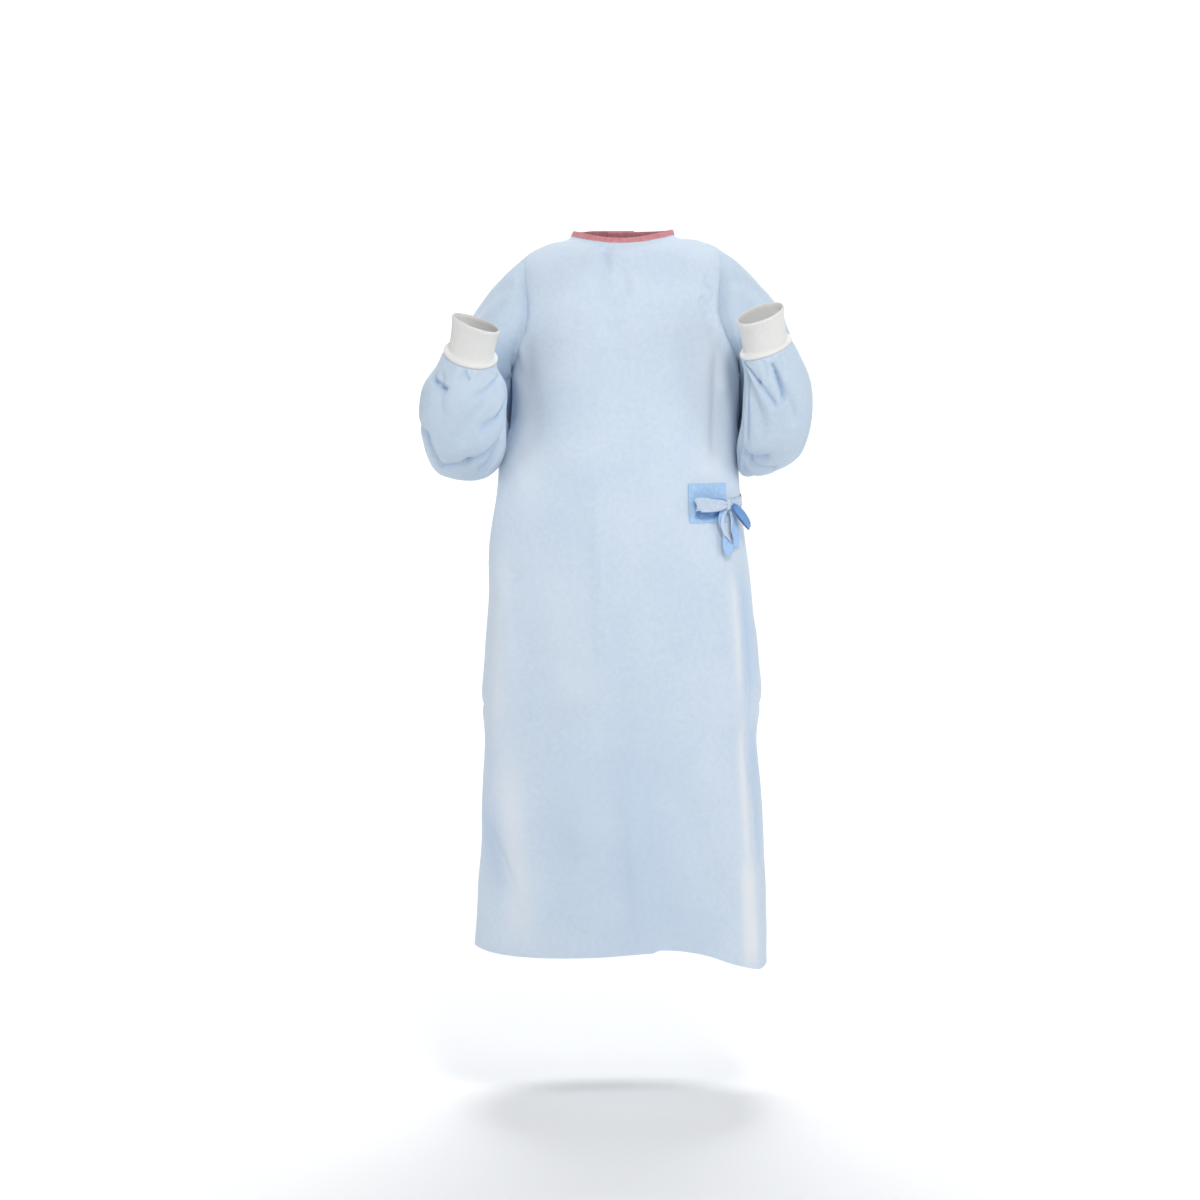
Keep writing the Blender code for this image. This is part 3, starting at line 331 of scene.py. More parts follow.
def bodyFace(angle, level):
    angle, level = np.broadcast_arrays(np.asarray(angle, float), np.asarray(level, float))
    row = {name: curveThrough(level, bodyTable["level"], bodyTable[name]) for name in bodyColumns}
    turn = np.radians(angle)
    c, s = np.cos(turn), np.sin(turn)
    wide = np.where(s > 0, row["left"], row["right"])
    deep = np.where(c > 0, row["front"], row["back"])
    sideZ = np.where(s > 0, row["zLeft"], row["zRight"])
    middleZ = np.where(c > 0, row["zFront"], row["zBack"])
    low, full, end, high = gown["squareLevels"]
    flatter = ease((level - low) / (full - low)) * ease((high - level) / (high - end)) * (c > 0)
    n = row["square"] + gown["frontSquare"] * flatter
    reach = (np.abs(c) ** n + np.abs(s) ** n) ** (-1 / n)
    out = unit(np.stack([s / wide, -c / deep], -1)) * bodyFolds(angle, level)[..., None]
    x = wide * reach * s + out[..., 0]
    y = -deep * reach * c + out[..., 1]
    return np.stack([x, y, sideZ * s * s + middleZ * c * c - hemDrop(angle, level)], -1)


def bodyNormal(angle, level):
    turn, rise = 0.2, 0.001
    across = bodyFace(angle + turn, level) - bodyFace(angle - turn, level)
    up = bodyFace(angle, np.minimum(level + rise, gown["bindingTop"])) - bodyFace(angle, level - rise)
    return unit(np.cross(across, up))


def wrapLift(angle, level):
    rise = wrap["lift"] * ease((wrap["liftFrom"] - angle) / (wrap["liftFrom"] - wrap["liftTo"]))
    free = ease((wrap["flareFrom"] - angle) / wrap["flareDegrees"])
    return rise + wrap["flare"] * free * ease((gown["waist"] - level) / wrap["flareHeight"])


def relief(points, normals, level):  # creases and unevenness, fading out at the neck
    x, y, z = (points[..., k] for k in range(3))
    front = -normals[..., 1] * reliefEnds["faceSlope"]
    side = (np.abs(normals[..., 0]) - reliefEnds["sideFrom"]) * reliefEnds["sideSlope"]
    height = creaseHeight(x, z, frontCreases) * ease(front)
    height += creaseHeight(x, z, backCreases) * ease(-front)
    height += creaseHeight(y, z, sideCreases) * ease(side)
    below = gown["neck"] - level
    waves = ease(below / reliefEnds["wavesBelow"]) * clothWaves(points)
    return height * ease(below / reliefEnds["creasesBelow"]) + waves


def clothPoint(angle, level, out):  # this far out from the finished cloth of the panel there
    face, normal = bodyFace(angle, level), bodyNormal(angle, level)
    lift = out + wrapLift(angle, level) + relief(face, normal, level)
    return face + normal * np.asarray(lift)[..., None]


def armholeLevel(turns):
    middle = (gown["underarm"] + gown["shoulder"]) / 2
    return middle - (gown["shoulder"] - gown["underarm"]) / 2 * np.cos(turns)


def seamEdge(side, cut):  # the side seam, armhole and shoulder seam of a panel, from the hem up
    count = gown["seamPoints"]
    low = np.linspace(gown["hem"], gown["underarm"], count["side"])[:-1]
    turns = np.linspace(0, math.pi, count["armhole"])
    high = np.linspace(gown["shoulder"], gown["neck"], count["shoulder"])[1:]
    level = np.concatenate([low, armholeLevel(turns), high])
    angle = np.full(len(level), 90.0)
    angle[len(low) : len(low) + len(turns)] += cut * np.sin(turns)
    return clothPoint(side * angle, level, 0.0)


def besideSeam(points, seam):  # how far each point is from a seam, and how far along it that is
    run = np.concatenate([[0], np.cumsum(np.linalg.norm(np.diff(seam, axis=0), axis=1))])
    tree = kdtree.KDTree(len(seam))
    for i, spot in enumerate(seam):
        tree.insert(spot, i)
    tree.balance()
    found = [tree.find(spot) for spot in points.reshape(-1, 3)]
    away = np.array([hit[2] for hit in found]).reshape(points.shape[:-1])
    along = run[np.array([hit[1] for hit in found])].reshape(points.shape[:-1])
    return away, along


def seamShape(points, seam, seed):
    # The puckers start just beside the seam, so that both of its edges stay together.
    away, along = besideSeam(points, seam)
    line = np.stack([along, np.zeros_like(along), np.zeros_like(along)], -1)
    ripple = latticeNoise(line, gown["puckerPitch"] / 2, seed)
    ripple = ripple * np.exp(-((away / gown["puckerWidth"]) ** 2))
    groove = np.exp(-((away / gown["seamDipWidth"]) ** 2))
    return gown["puckerDepth"] * ripple * (1 - groove) - gown["seamDip"] * groove


# Colours are sRGB hex.
def colourOf(code):
    values = [int(code[i : i + 2], 16) / 255 for i in (1, 3, 5)]
    return [v / 12.92 if v <= 0.04045 else ((v + 0.055) / 1.055) ** 2.4 for v in values] + [1.0]


def addNode(tree, kind, values=None):
    # kind: a type of node, or a node that is there. values: its settings, and for each input a number,
    # a socket, or a node whose first output feeds it.
    node = tree.nodes.new(kind) if isinstance(kind, str) else kind
    for key, value in (values or {}).items():
        if isinstance(value, bpy.types.Node):
            value = value.outputs[0]
        if isinstance(value, bpy.types.NodeSocket):
            tree.links.new(value, node.inputs[key])
        elif isinstance(key, str) and key[0].islower():
            setattr(node, key, value)
        else:
            node.inputs[key].default_value = value
    return node


def newMaterial(name, roughness, sheen, ior):
    material = bpy.data.materials.new(name)
    material.use_nodes = True
    tree = material.node_tree
    surface = addNode(tree, tree.nodes["Principled BSDF"], {
        "Roughness": roughness, "IOR": ior, "Sheen Weight": sheen, "Sheen Roughness": 0.6})
    return material, tree, surface


nonwoven = {
    "pale": "#cddae8",
    "deep": "#c4d3e3",
    "sleevePaleShaded": "#c3d2e1",  # painted shade: the sleeves' cloth is coloured darker than the panels'
    "sleeveDeepShaded": "#bacbdc",
    # painted highlight, then painted shade: the colours that the painted light and shade mix in
    "paintedHighlight": "#e3e6ea",
    "paintedShade": "#a6c0de",
    "cloud": 0.008,  # the web's cloudiness, metres
    "broadCloud": 0.11,
    "broadShare": 0.45,
    "bondPitch": 0.0021,  # bond points are 0.9 mm apart in the real web, drawn coarser to show at all
    "fibre": 0.0016,
    "fibreShare": 0.35,
    "bump": 0.12,
    "bumpDepth": 0.0004,
}


def makeNonwoven(name, pale, deep):
    # Spunbond polypropylene, point bonded: matt, cloudy where the web is thinner, with pin-point dimples.
    # The point attribute read below paints light and shade on it: paler (painted highlight) towards 1, bluer
    # (painted shade) towards -1.
    material, tree, surface = newMaterial(name, 0.8, 0.12, 1.49)
    spot = addNode(tree, "ShaderNodeTexCoord").outputs["Object"]
    cloud = addNode(tree, "ShaderNodeTexNoise", {
        "Scale": 1 / nonwoven["cloud"], "Detail": 3.0, "Roughness": 0.55, "Vector": spot})
    broad = addNode(tree, "ShaderNodeTexNoise", {
        "Scale": 1 / nonwoven["broadCloud"], "Detail": 1.0, "Vector": spot})
    broadPart = addNode(tree, "ShaderNodeMath", {
        "operation": "MULTIPLY", 0: broad, 1: nonwoven["broadShare"]})
    mixed = addNode(tree, "ShaderNodeMath", {
        "operation": "MULTIPLY_ADD", 0: cloud, 1: 1 - nonwoven["broadShare"], 2: broadPart})
    share = addNode(tree, "ShaderNodeMapRange", {"From Min": 0.36, "From Max": 0.64, "Value": mixed})
    tint = addNode(tree, "ShaderNodeMix", {
        "data_type": "RGBA", 0: share, 6: colourOf(deep), 7: colourOf(pale)}).outputs[2]
    paintedLight = addNode(tree, "ShaderNodeAttribute", {"attribute_name": "paintedLight"}).outputs["Fac"]
    below = addNode(tree, "ShaderNodeMath", {"operation": "MULTIPLY", 0: paintedLight, 1: -1.0})
    for amount, code in ((paintedLight, nonwoven["paintedHighlight"]), (below, nonwoven["paintedShade"])):
        mix = addNode(tree, "ShaderNodeMix", {"data_type": "RGBA", 0: amount, 6: tint, 7: colourOf(code)})
        tint = mix.outputs[2]
    turned = addNode(tree, "ShaderNodeMapping", {
        "Rotation": (0, 0, math.radians(45)), "Vector": addNode(tree, "ShaderNodeUVMap")})
    dots = addNode(tree, "ShaderNodeTexVoronoi", {
        "Scale": 1 / nonwoven["bondPitch"], "Randomness": 0.12, "Vector": turned})
    dimple = addNode(tree, "ShaderNodeMapRange", {"From Min": 0.10, "From Max": 0.38, "Value": dots})
    fibre = addNode(tree, "ShaderNodeTexNoise", {
        "Scale": 1 / nonwoven["fibre"], "Detail": 2.0, "Vector": spot})
    rise = addNode(tree, "ShaderNodeMath", {
        "operation": "MULTIPLY_ADD", 0: fibre, 1: nonwoven["fibreShare"], 2: dimple})
    bump = addNode(tree, "ShaderNodeBump", {
        "Strength": nonwoven["bump"], "Distance": nonwoven["bumpDepth"], "Height": rise})
    rough = addNode(tree, "ShaderNodeMapRange", {"To Min": 0.66, "To Max": 0.80, "Value": cloud})
    addNode(tree, surface, {"Base Color": tint, "Normal": bump, "Roughness": rough})
    return material


def addObject(name, data):
    item = bpy.data.objects.new(name, data)
    bpy.context.scene.collection.objects.link(item)
    return item


def smoothPiece(name, mesh, materials):
    mesh.shade_smooth()
    mesh.set_sharp_from_angle(angle=math.radians(60))
    for material in materials:
        mesh.materials.append(material)
    return addObject(name, mesh)


def addPointValues(piece, name, values):
    piece.data.attributes.new(name, "FLOAT", "POINT").data.foreach_set("value", values)


def makeShell(name, outer, inner, materials, tube=False):
    # A closed thin wall between two grids of points. Its UV map holds the cloth's own distances in metres.
    along, around = clothDistances(outer)
    rows, columns = outer.shape[:2]
    last = columns - 1
    wide = columns if tube else last
    up, across = np.arange(rows - 1), np.arange(wide)
    face = np.meshgrid(up, across, indexing="ij")
    # Each part: its cells, the corners of one face as steps up, steps across and wall, and its material.
    parts = [
        (face, ((0, 0, 0), (0, 1, 0), (1, 1, 0), (1, 0, 0)), 0),
        (face, ((1, 0, 1), (1, 1, 1), (0, 1, 1), (0, 0, 1)), len(materials) - 1),
        ((0 * across, across), ((0, 1, 0), (0, 0, 0), (0, 0, 1), (0, 1, 1)), 0),
        ((0 * across + rows - 1, across), ((0, 0, 0), (0, 1, 0), (0, 1, 1), (0, 0, 1)), 0),
    ]
    if tube:
        around = np.concatenate([around, 2 * around[:, -1:] - around[:, -2:-1]], -1)
    else:
        parts.append(((up, 0 * up), ((0, 0, 0), (1, 0, 0), (1, 0, 1), (0, 0, 1)), 0))
        parts.append(((up, 0 * up + last), ((1, 0, 0), (0, 0, 0), (0, 0, 1), (1, 0, 1)), 0))
    faces, places, slots = [], [], []
    for (i, j), corners, slot in parts:
        stepUp, stepAcross, wall = np.array(corners).T
        i, j = i.ravel()[:, None] + stepUp, j.ravel()[:, None] + stepAcross
        faces.append(wall * rows * columns + i * columns + j % columns)
        places.append(np.stack([around[i, j], along[i, j % columns]], -1))
        slots.append(np.full(len(i), slot))
    faces = np.concatenate(faces)
    points = np.concatenate([outer.reshape(-1, 3), inner.reshape(-1, 3)])
    mesh = bpy.data.meshes.new(name)
    mesh.vertices.add(len(points))
    mesh.vertices.foreach_set("co", points.ravel())
    mesh.loops.add(faces.size)
    mesh.loops.foreach_set("vertex_index", faces.ravel())
    mesh.polygons.add(len(faces))
    mesh.polygons.foreach_set("loop_start", np.arange(len(faces)) * 4)
    mesh.polygons.foreach_set("material_index", np.concatenate(slots))
    mesh.update(calc_edges=True)
    mesh.uv_layers.new(name="clothUV").data.foreach_set("uv", np.concatenate(places).ravel())
    return smoothPiece(name, mesh, materials)


def clothDistances(points):  # distance along each row and column of a grid
    across = np.linalg.norm(np.diff(points, axis=1), axis=-1)
    around = np.concatenate([np.zeros((len(points), 1)), np.cumsum(across, axis=1)], axis=1)
    around = around - around[:, around.shape[1] // 2][:, None]
    up = np.linalg.norm(np.diff(points, axis=0), axis=-1).mean(axis=1)
    along = np.concatenate([[0], np.cumsum(up)])[:, None] * np.ones((1, points.shape[1]))
    return along, around


def gridNormals(points, tube=False):
    if tube:
        across = np.roll(points, -1, axis=1) - np.roll(points, 1, axis=1)
    else:
        across = np.gradient(points, axis=1)
    return unit(np.cross(across, np.gradient(points, axis=0)))


def faceOutwards(mesh):
    shape = bmesh.new()
    shape.from_mesh(mesh)
    if shape.calc_volume(signed=True) < 0:
        mesh.flip_normals()
    shape.free()


def finishPiece(piece, node, slot, **sheet):
    faceOutwards(piece.data)
    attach(piece, "root")
    if node:
        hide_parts(node)


print("panels")
panels = {
    "front": {"columns": 118, "flat": (0.66, 1.27), "area": 0.72},
    "backRight": {"columns": 112, "flat": (0.66, 1.26), "area": 0.66},
    "backLeft": {"columns": 84, "flat": (0.49, 1.26), "area": 0.50},
    "nodes": {"front": "front", "backRight": "back_right", "backLeft": "back_left"},
    "paintedLightStart": -0.20,  # the front's painted light and shade fade out towards the flanks
    "paintedLightSlope": 2.6,
    "edgeSteps": (0.0, 0.0012, 0.0026, 0.0045),  # columns set close beside each seam, metres
    "edgeWidth": 0.5,
    "cutFall": 1.6,  # how fast an armhole's cut dies away into a panel that is cut on both sides
}
panelCloth = makeNonwoven("spunbond polypropylene panel cloth", nonwoven["pale"], nonwoven["deep"])
# Painted shade: the sleeves are given darker colours than the panels.
sleeveCloth = makeNonwoven(
    "spunbond polypropylene sleeve cloth", nonwoven["sleevePaleShaded"], nonwoven["sleeveDeepShaded"])


def panelRows():  # levels at the middle of a panel and at its armhole's edge, and how far that is cut in
    count = gown["rows"]
    low = np.linspace(gown["hem"], gown["waist"], count["skirt"] + 1)[:-1]
    waist = np.linspace(gown["waist"], gown["underarm"], count["waist"] + 1)[:-1]
    turns = np.linspace(0, math.pi, count["armhole"] + 1)
    high = np.linspace(gown["shoulder"], gown["neck"], count["shoulder"] + 1)[1:]
    even = np.linspace(gown["underarm"], gown["shoulder"], count["armhole"] + 1)
    crowded = np.concatenate([low, waist, armholeLevel(turns), high])
    plain = np.concatenate([low, waist, even, high])
    cut = np.concatenate([np.zeros(len(low) + len(waist)), np.sin(turns), np.zeros(len(high))])
    return plain, crowded, cut


def panelGrid(key, left, right, leftCut, rightCut):
    # left and right give the edge angles of each row; a cut pulls that edge in round the armhole.
    plain, crowded, cut = panelRows()
    close = np.array(panels["edgeSteps"]) / panels["edgeWidth"]
    even = np.linspace(0, 1, panels[key]["columns"] + 1)[1:-1]
    share = np.concatenate([close, even, 1 - close[::-1]])[None, :]
    near = []  # 1 at a cut edge, 0 at the far one or, where both are cut, from the middle on
    for cut1, cut2, away in ((leftCut, rightCut, share), (rightCut, leftCut, 1 - share)):
        fall = np.clip(1 - 2 * away, 0, 1) ** panels["cutFall"] if cut2 else (1 - away) ** 2
        near.append(fall * (cut1 != 0))
    angle = left[:, None] + (right - left)[:, None] * share
    angle = angle + cut[:, None] * (leftCut * near[0] + rightCut * near[1])
    crowd = np.maximum(*near) ** 2
    return angle, plain[:, None] * (1 - crowd) + crowded[:, None] * crowd


def makePanel(key, grid, seams):
    angle, level = grid
    face, normal = bodyFace(angle, level), bodyNormal(angle, level)
    points = face + normal * (wrapLift(angle, level) + relief(face, normal, level))[..., None]
    for seed, seam in enumerate(seams, 5):
        points = points + normal * seamShape(points, seam, seed)[..., None]
    outward = gridNormals(points)
    piece = makeShell(key + "Panel", points, points - outward * gown["cloth"], [panelCloth])
    if key == "front":
        # Painted light and shade on the front: paler where it is painted lit, bluer where it is painted
        # shaded.
        paintedLight = creaseHeight(points[..., 0], points[..., 2], paintedLightBands)
        paintedLight = (paintedLight * ease(panels["paintedLightStart"] - outward[..., 1] * panels["paintedLightSlope"])).ravel()
        addPointValues(piece, "paintedLight", np.tile(paintedLight, 2))
    finishPiece(piece, panels["nodes"][key], "panel_cloth", flat=panels[key]["flat"], held="hung",
                area=panels[key]["area"], rests_on=[] if key == "front" else ["frontPanel"])


rowLevels = panelRows()[1]
outerEdge, innerEdge = (
    curveThrough(rowLevels, edgeTable["level"], edgeTable[name]) for name in ("outer", "inner"))
sideSeam = np.full(len(rowLevels), 90.0)
frontCut, backCut = gown["frontCut"], gown["backCut"]
frontSeams = [seamEdge(side, -frontCut) for side in (-1, 1)]
makePanel("front", panelGrid("front", -sideSeam, sideSeam, frontCut, -frontCut), frontSeams)
makePanel("backRight", panelGrid("backRight", outerEdge, -sideSeam, 0.0, -backCut), [seamEdge(-1, backCut)])
makePanel("backLeft", panelGrid("backLeft", sideSeam, innerEdge, backCut, 0.0), [seamEdge(1, backCut)])

print("sleeves")
cuff = {
    "length": 0.0636,
    "baseRadius": 0.0438,
    # each end's distance out, y, z, roll and tilt
    "right": ((0.247, -0.160, -0.215, 10.0, 28.0), (0.236, -0.190, -0.160, 19.0, 15.0)),
    "left": ((0.239, -0.160, -0.203, 19.0, 18.0), (0.227, -0.190, -0.145, 19.0, 20.0)),
    "flat": (0.20, 0.085),
}
sideSign = {"right": -1, "left": 1}  # of x


def cuffRing(side, along, radius, angles):
    share = np.asarray(along) / cuff["length"]
    out, y, z, roll, tilt = (base + (top - base) * share for base, top in zip(*cuff[side]))
    roll, tilt, turn = np.radians(roll), np.radians(tilt), np.radians(angles)
    none = 0 * tilt
    crook = np.stack([none, np.cos(tilt), np.sin(tilt)], -1)
    outer = np.stack([np.cos(roll), none, np.sin(roll)], -1)
    reach = np.cos(turn)[..., None] * crook + np.sin(turn)[..., None] * outer
    ring = np.stack([out, y, z], -1) + np.asarray(radius)[..., None] * reach
    return ring * np.array([sideSign[side], 1.0, 1.0])


sleeve = {
    "square": 2.4,
    "rings": 164,
    "sides": 176,
    "closeRings": (0.0, 0.0014, 0.0030, 0.0052, 0.0085),  # from each seam, metres
    "tuck": (0.0016, 0.0009),  # how far its edge runs in under the panels, and how deep
    "length": 0.52,
    "radius": 0.065,
    "armholeBlend": 0.22,
    "squareBlend": 0.20,
    "waves": 1.2,  # the thinner single layer waves more than the panels
    "creaseEnds": (0.08, 0.06),  # shares of its length where creases fade at the armhole and the cuff
    "fineEnds": (0.04, 0.02),
    "seamEnd": 0.2,
    "flat": (0.43, 0.55),
    "area": 0.19,
}
gather = {  # pleats where the sleeve is drawn into its cuff: metres, and shares that vary round it
    "depth": 0.0022,
    "count": 17,
    "length": 0.075,
    "start": 0.012,
    "offset": 0.35,
    "share": (0.55, 0.45),
    "drift": 3.2,
    "patches": (0.55, 0.4, 0.3),
    "seeds": {"right": 3, "left": 17},
}
# Rings of a sleeve, (out, y, z) in the crook of the arm, on its outer side, at its back and next the body.
sleeveRails = {"right": (
    ((0.176, -0.090, -0.150), (0.190, 0.000, -0.072), (0.180, 0.080, -0.145), (0.189, 0.012, -0.2465)),
    ((0.205, -0.088, -0.190), (0.230, -0.002, -0.115), (0.215, 0.070, -0.190), (0.181, 0.044, -0.266)),
    ((0.235, -0.082, -0.232), (0.270, -0.010, -0.185), (0.243, 0.060, -0.250), (0.179, 0.048, -0.290)),
    ((0.256, -0.078, -0.265), (0.303, -0.025, -0.270), (0.262, 0.046, -0.325), (0.182, 0.050, -0.334)),
    ((0.262, -0.0795, -0.2785), (0.320, -0.060, -0.335), (0.270, -0.005, -0.402), (0.194, -0.036, -0.360)),
    ((0.262, -0.083, -0.2810), (0.326, -0.098, -0.345), (0.271, -0.070, -0.421), (0.192, -0.088, -0.358)),
    ((0.262, -0.0865, -0.2785), (0.334, -0.125, -0.310), (0.267, -0.145, -0.385), (0.189, -0.125, -0.318)),
    ((0.262, -0.092, -0.262), (0.326, -0.142, -0.266), (0.262, -0.190, -0.310), (0.187, -0.142, -0.268)),
    ((0.256, -0.110, -0.228), (0.302, -0.155, -0.232), (0.256, -0.203, -0.262), (0.203, -0.155, -0.238)),
), "left": (
    ((0.186, -0.090, -0.148), (0.204, 0.000, -0.062), (0.190, 0.080, -0.142), (0.212, 0.000, -0.2460)),
    ((0.212, -0.088, -0.186), (0.248, -0.002, -0.105), (0.224, 0.070, -0.186), (0.203, 0.030, -0.264)),
    ((0.236, -0.082, -0.228), (0.283, -0.008, -0.160), (0.247, 0.060, -0.243), (0.198, 0.048, -0.290)),
    ((0.252, -0.078, -0.262), (0.305, -0.025, -0.250), (0.262, 0.046, -0.315), (0.198, 0.050, -0.332)),
    ((0.257, -0.0795, -0.2750), (0.314, -0.060, -0.325), (0.262, -0.005, -0.390), (0.203, -0.036, -0.374)),
    ((0.257, -0.083, -0.2775), (0.316, -0.095, -0.330), (0.257, -0.070, -0.408), (0.195, -0.084, -0.378)),
    ((0.257, -0.0865, -0.2750), (0.318, -0.125, -0.298), (0.256, -0.145, -0.370), (0.201, -0.122, -0.332)),
    ((0.256, -0.092, -0.256), (0.312, -0.142, -0.252), (0.254, -0.190, -0.296), (0.203, -0.142, -0.260)),
    ((0.249, -0.110, -0.218), (0.294, -0.155, -0.213), (0.249, -0.203, -0.246), (0.200, -0.155, -0.230)),
)}
# Creases of a sleeve: share along it and degrees round it (0 crook, 90 outer, 180 back, 270 body) at each
# end, then width and depth.
bigSleeveCreases = {
    "right": (
        (0.86, 235.0, 0.76, 185.0, 0.012, -0.0060), (0.72, 262.0, 0.64, 215.0, 0.011, -0.0075),
        (0.90, 130.0, 0.80, 152.0, 0.009, -0.0055), (0.66, 95.0, 0.56, 140.0, 0.012, -0.0075),
        (0.58, 165.0, 0.55, 215.0, 0.010, -0.0065), (0.40, 20.0, 0.46, 80.0, 0.012, -0.0050),
        (0.10, 40.0, 0.24, 62.0, 0.014, -0.0050), (0.12, 145.0, 0.30, 165.0, 0.016, -0.0060),
        (0.36, 130.0, 0.46, 175.0, 0.014, -0.0055),
    ),
    "left": (
        (0.88, 252.0, 0.76, 205.0, 0.011, -0.0070), (0.90, 178.0, 0.76, 150.0, 0.009, -0.0060),
        (0.86, 268.0, 0.62, 262.0, 0.010, -0.0080), (0.62, 236.0, 0.56, 195.0, 0.011, -0.0070),
        (0.64, 95.0, 0.54, 135.0, 0.013, -0.0055), (0.41, 25.0, 0.47, 82.0, 0.012, -0.0050),
        (0.09, 42.0, 0.25, 66.0, 0.014, -0.0055), (0.14, 140.0, 0.31, 160.0, 0.016, -0.0060),
        (0.34, 135.0, 0.45, 170.0, 0.014, -0.0050),
    ),
}
fineSleeveCreases = {
    "right": (
        (0.869, 114.0, 0.868, 148.0, 0.0048, -0.0110), (0.990, 172.0, 0.930, 187.0, 0.0030, -0.0044),
        (0.875, 260.0, 0.852, 201.0, 0.0070, -0.0044), (0.766, 254.0, 0.758, 210.0, 0.0060, -0.0090),
        (0.80, 240.0, 0.73, 206.0, 0.006, 0.0024), (0.700, 104.0, 0.724, 133.0, 0.0042, -0.0052),
        (0.720, 133.0, 0.656, 155.0, 0.0044, -0.0076), (0.660, 160.0, 0.690, 192.0, 0.0040, -0.0088),
        (0.690, 192.0, 0.694, 232.0, 0.0044, -0.0090), (0.645, 214.0, 0.668, 244.0, 0.006, -0.0060),
        (0.62, 178.0, 0.60, 218.0, 0.006, 0.0020), (0.72, 84.0, 0.66, 112.0, 0.006, -0.0020),
        (0.44, 330.0, 0.47, 30.0, 0.006, -0.0030), (0.42, 292.0, 0.45, 340.0, 0.006, -0.0026),
        (0.30, 70.0, 0.38, 118.0, 0.008, -0.0024), (0.20, 88.0, 0.30, 124.0, 0.008, -0.0022),
        (0.16, 300.0, 0.26, 322.0, 0.008, -0.0026), (0.24, 190.0, 0.36, 214.0, 0.009, -0.0026),
    ),
    "left": (
        (0.955, 177.0, 0.812, 167.0, 0.0042, -0.0080), (0.953, 249.0, 0.867, 212.0, 0.0055, -0.0066),
        (0.867, 212.0, 0.805, 183.0, 0.0055, -0.0066), (0.970, 258.0, 0.860, 248.0, 0.0050, -0.0060),
        (0.860, 248.0, 0.719, 236.0, 0.0055, -0.0080), (0.672, 245.0, 0.682, 193.0, 0.0045, -0.0090),
        (0.668, 223.0, 0.625, 178.0, 0.0045, -0.0070),
        (0.62, 214.0, 0.60, 182.0, 0.006, 0.0020), (0.57, 190.0, 0.545, 160.0, 0.005, -0.0024),
        (0.70, 120.0, 0.60, 148.0, 0.006, -0.0024), (0.76, 92.0, 0.68, 116.0, 0.006, -0.0020),
        (0.44, 326.0, 0.47, 26.0, 0.006, -0.0030), (0.41, 290.0, 0.45, 334.0, 0.006, -0.0026),
        (0.28, 74.0, 0.37, 120.0, 0.008, -0.0024), (0.18, 92.0, 0.29, 128.0, 0.008, -0.0022),
        (0.15, 304.0, 0.25, 326.0, 0.008, -0.0026), (0.25, 196.0, 0.37, 218.0, 0.009, -0.0026),
    ),
}
sleevePaintedShade = {  # painted shade: the cloth in a fold, and where the sleeve lies between the arm and the body, is painted bluer
    "foldDepth": 0.015,
    "foldMost": -0.6,
    "body": -0.95,
    "bodyAngle": 305,
    "bodyWidth": 48,
    "bodyFrom": (0.10, 0.2),
    "bodyTo": (0.68, 0.1),
}


def armholeRing(side, angles):  # the armhole's edge, and the tucked ring under the panels
    front = (angles <= 90) | (angles > 270)
    turns = np.radians(np.where(front, (angles + 90) % 360, 270 - angles))
    cut = np.where(front, -gown["frontCut"], gown["backCut"]) * np.sin(turns)
    angle, level = sideSign[side] * (90 + cut), armholeLevel(turns)
    edge, normal = clothPoint(angle, level, -gown["seamDip"]), bodyNormal(angle, level)
    along = np.roll(edge, -1, axis=0) - np.roll(edge, 1, axis=0)
    into = unit(np.cross(normal, along))
    into *= np.sign(np.sum(into * (edge.mean(axis=0) - edge), axis=-1))[:, None]
    return edge, edge - into * sleeve["tuck"][0] - normal * sleeve["tuck"][1]


def sleeveShares():
    close = np.array(sleeve["closeRings"]) / sleeve["length"]
    return np.concatenate([close, np.linspace(0, 1, sleeve["rings"] + 1)[3:-3], 1 - close[::-1]])


def sleeveTube(side, angles):
    flip = np.array([sideSign[side], 1.0, 1.0])
    quarter = np.array([0.0, 90.0, 180.0, 270.0])
    firstRing = armholeRing(side, quarter)[0] * flip
    lastRing = cuffRing(side, 0.0, cuff["baseRadius"], quarter) * flip
    rails = np.array([firstRing, *np.array(sleeveRails[side]), lastRing])
    order = np.arange(len(rails))
    place = sleeveShares() * order[-1]
    crook, outer, elbow, inner = (curveThrough(place, order, rails[:, k])[:, None] for k in range(4))
    forward, sideways = (crook - elbow) / 2, (outer - inner) / 2
    turn = np.radians(angles)[None, :, None]
    c, s = np.cos(turn), np.sin(turn)
    share = sleeveShares()[:, None, None]
    blend = sleeve["squareBlend"]
    square = 2 + (sleeve["square"] - 2) * ease(share / blend) * ease((1 - share) / blend)
    reach = (np.abs(c) ** square + np.abs(s) ** square) ** (-1 / square)
    points = (crook + outer + elbow + inner) / 4 + (forward * c + sideways * s) * reach
    points = (points + (crook + elbow - outer - inner) / 4 * np.cos(2 * turn)) * flip
    edge = armholeRing(side, angles)[0]
    return points + (edge - points[0])[None] * (1 - ease(share / sleeve["armholeBlend"]))


def sleeveCreases(rows, share, angles, sharp):
    total = np.zeros((len(share), len(angles)))
    for fromShare, fromAngle, toShare, toAngle, width, depth in rows:
        across = np.radians(turnFrom(fromAngle, angles))[None, :] * sleeve["radius"]
        sweep = math.radians(turnFrom(fromAngle, toAngle)) * sleeve["radius"]
        up = (share[:, None] - fromShare) * sleeve["length"]
        run = (toShare - fromShare) * sleeve["length"]
        part = np.clip((up * run + across * sweep) / (run * run + sweep * sweep), 0, 1)
        away = np.hypot(up - part * run, across - part * sweep)
        total += depth * np.exp(-((away / width) ** sharp))
    return total


def tubeNormals(points):
    normal = gridNormals(points, tube=True)
    outward = points - points.mean(axis=1, keepdims=True)
    return normal * np.sign(np.sum(normal * outward))


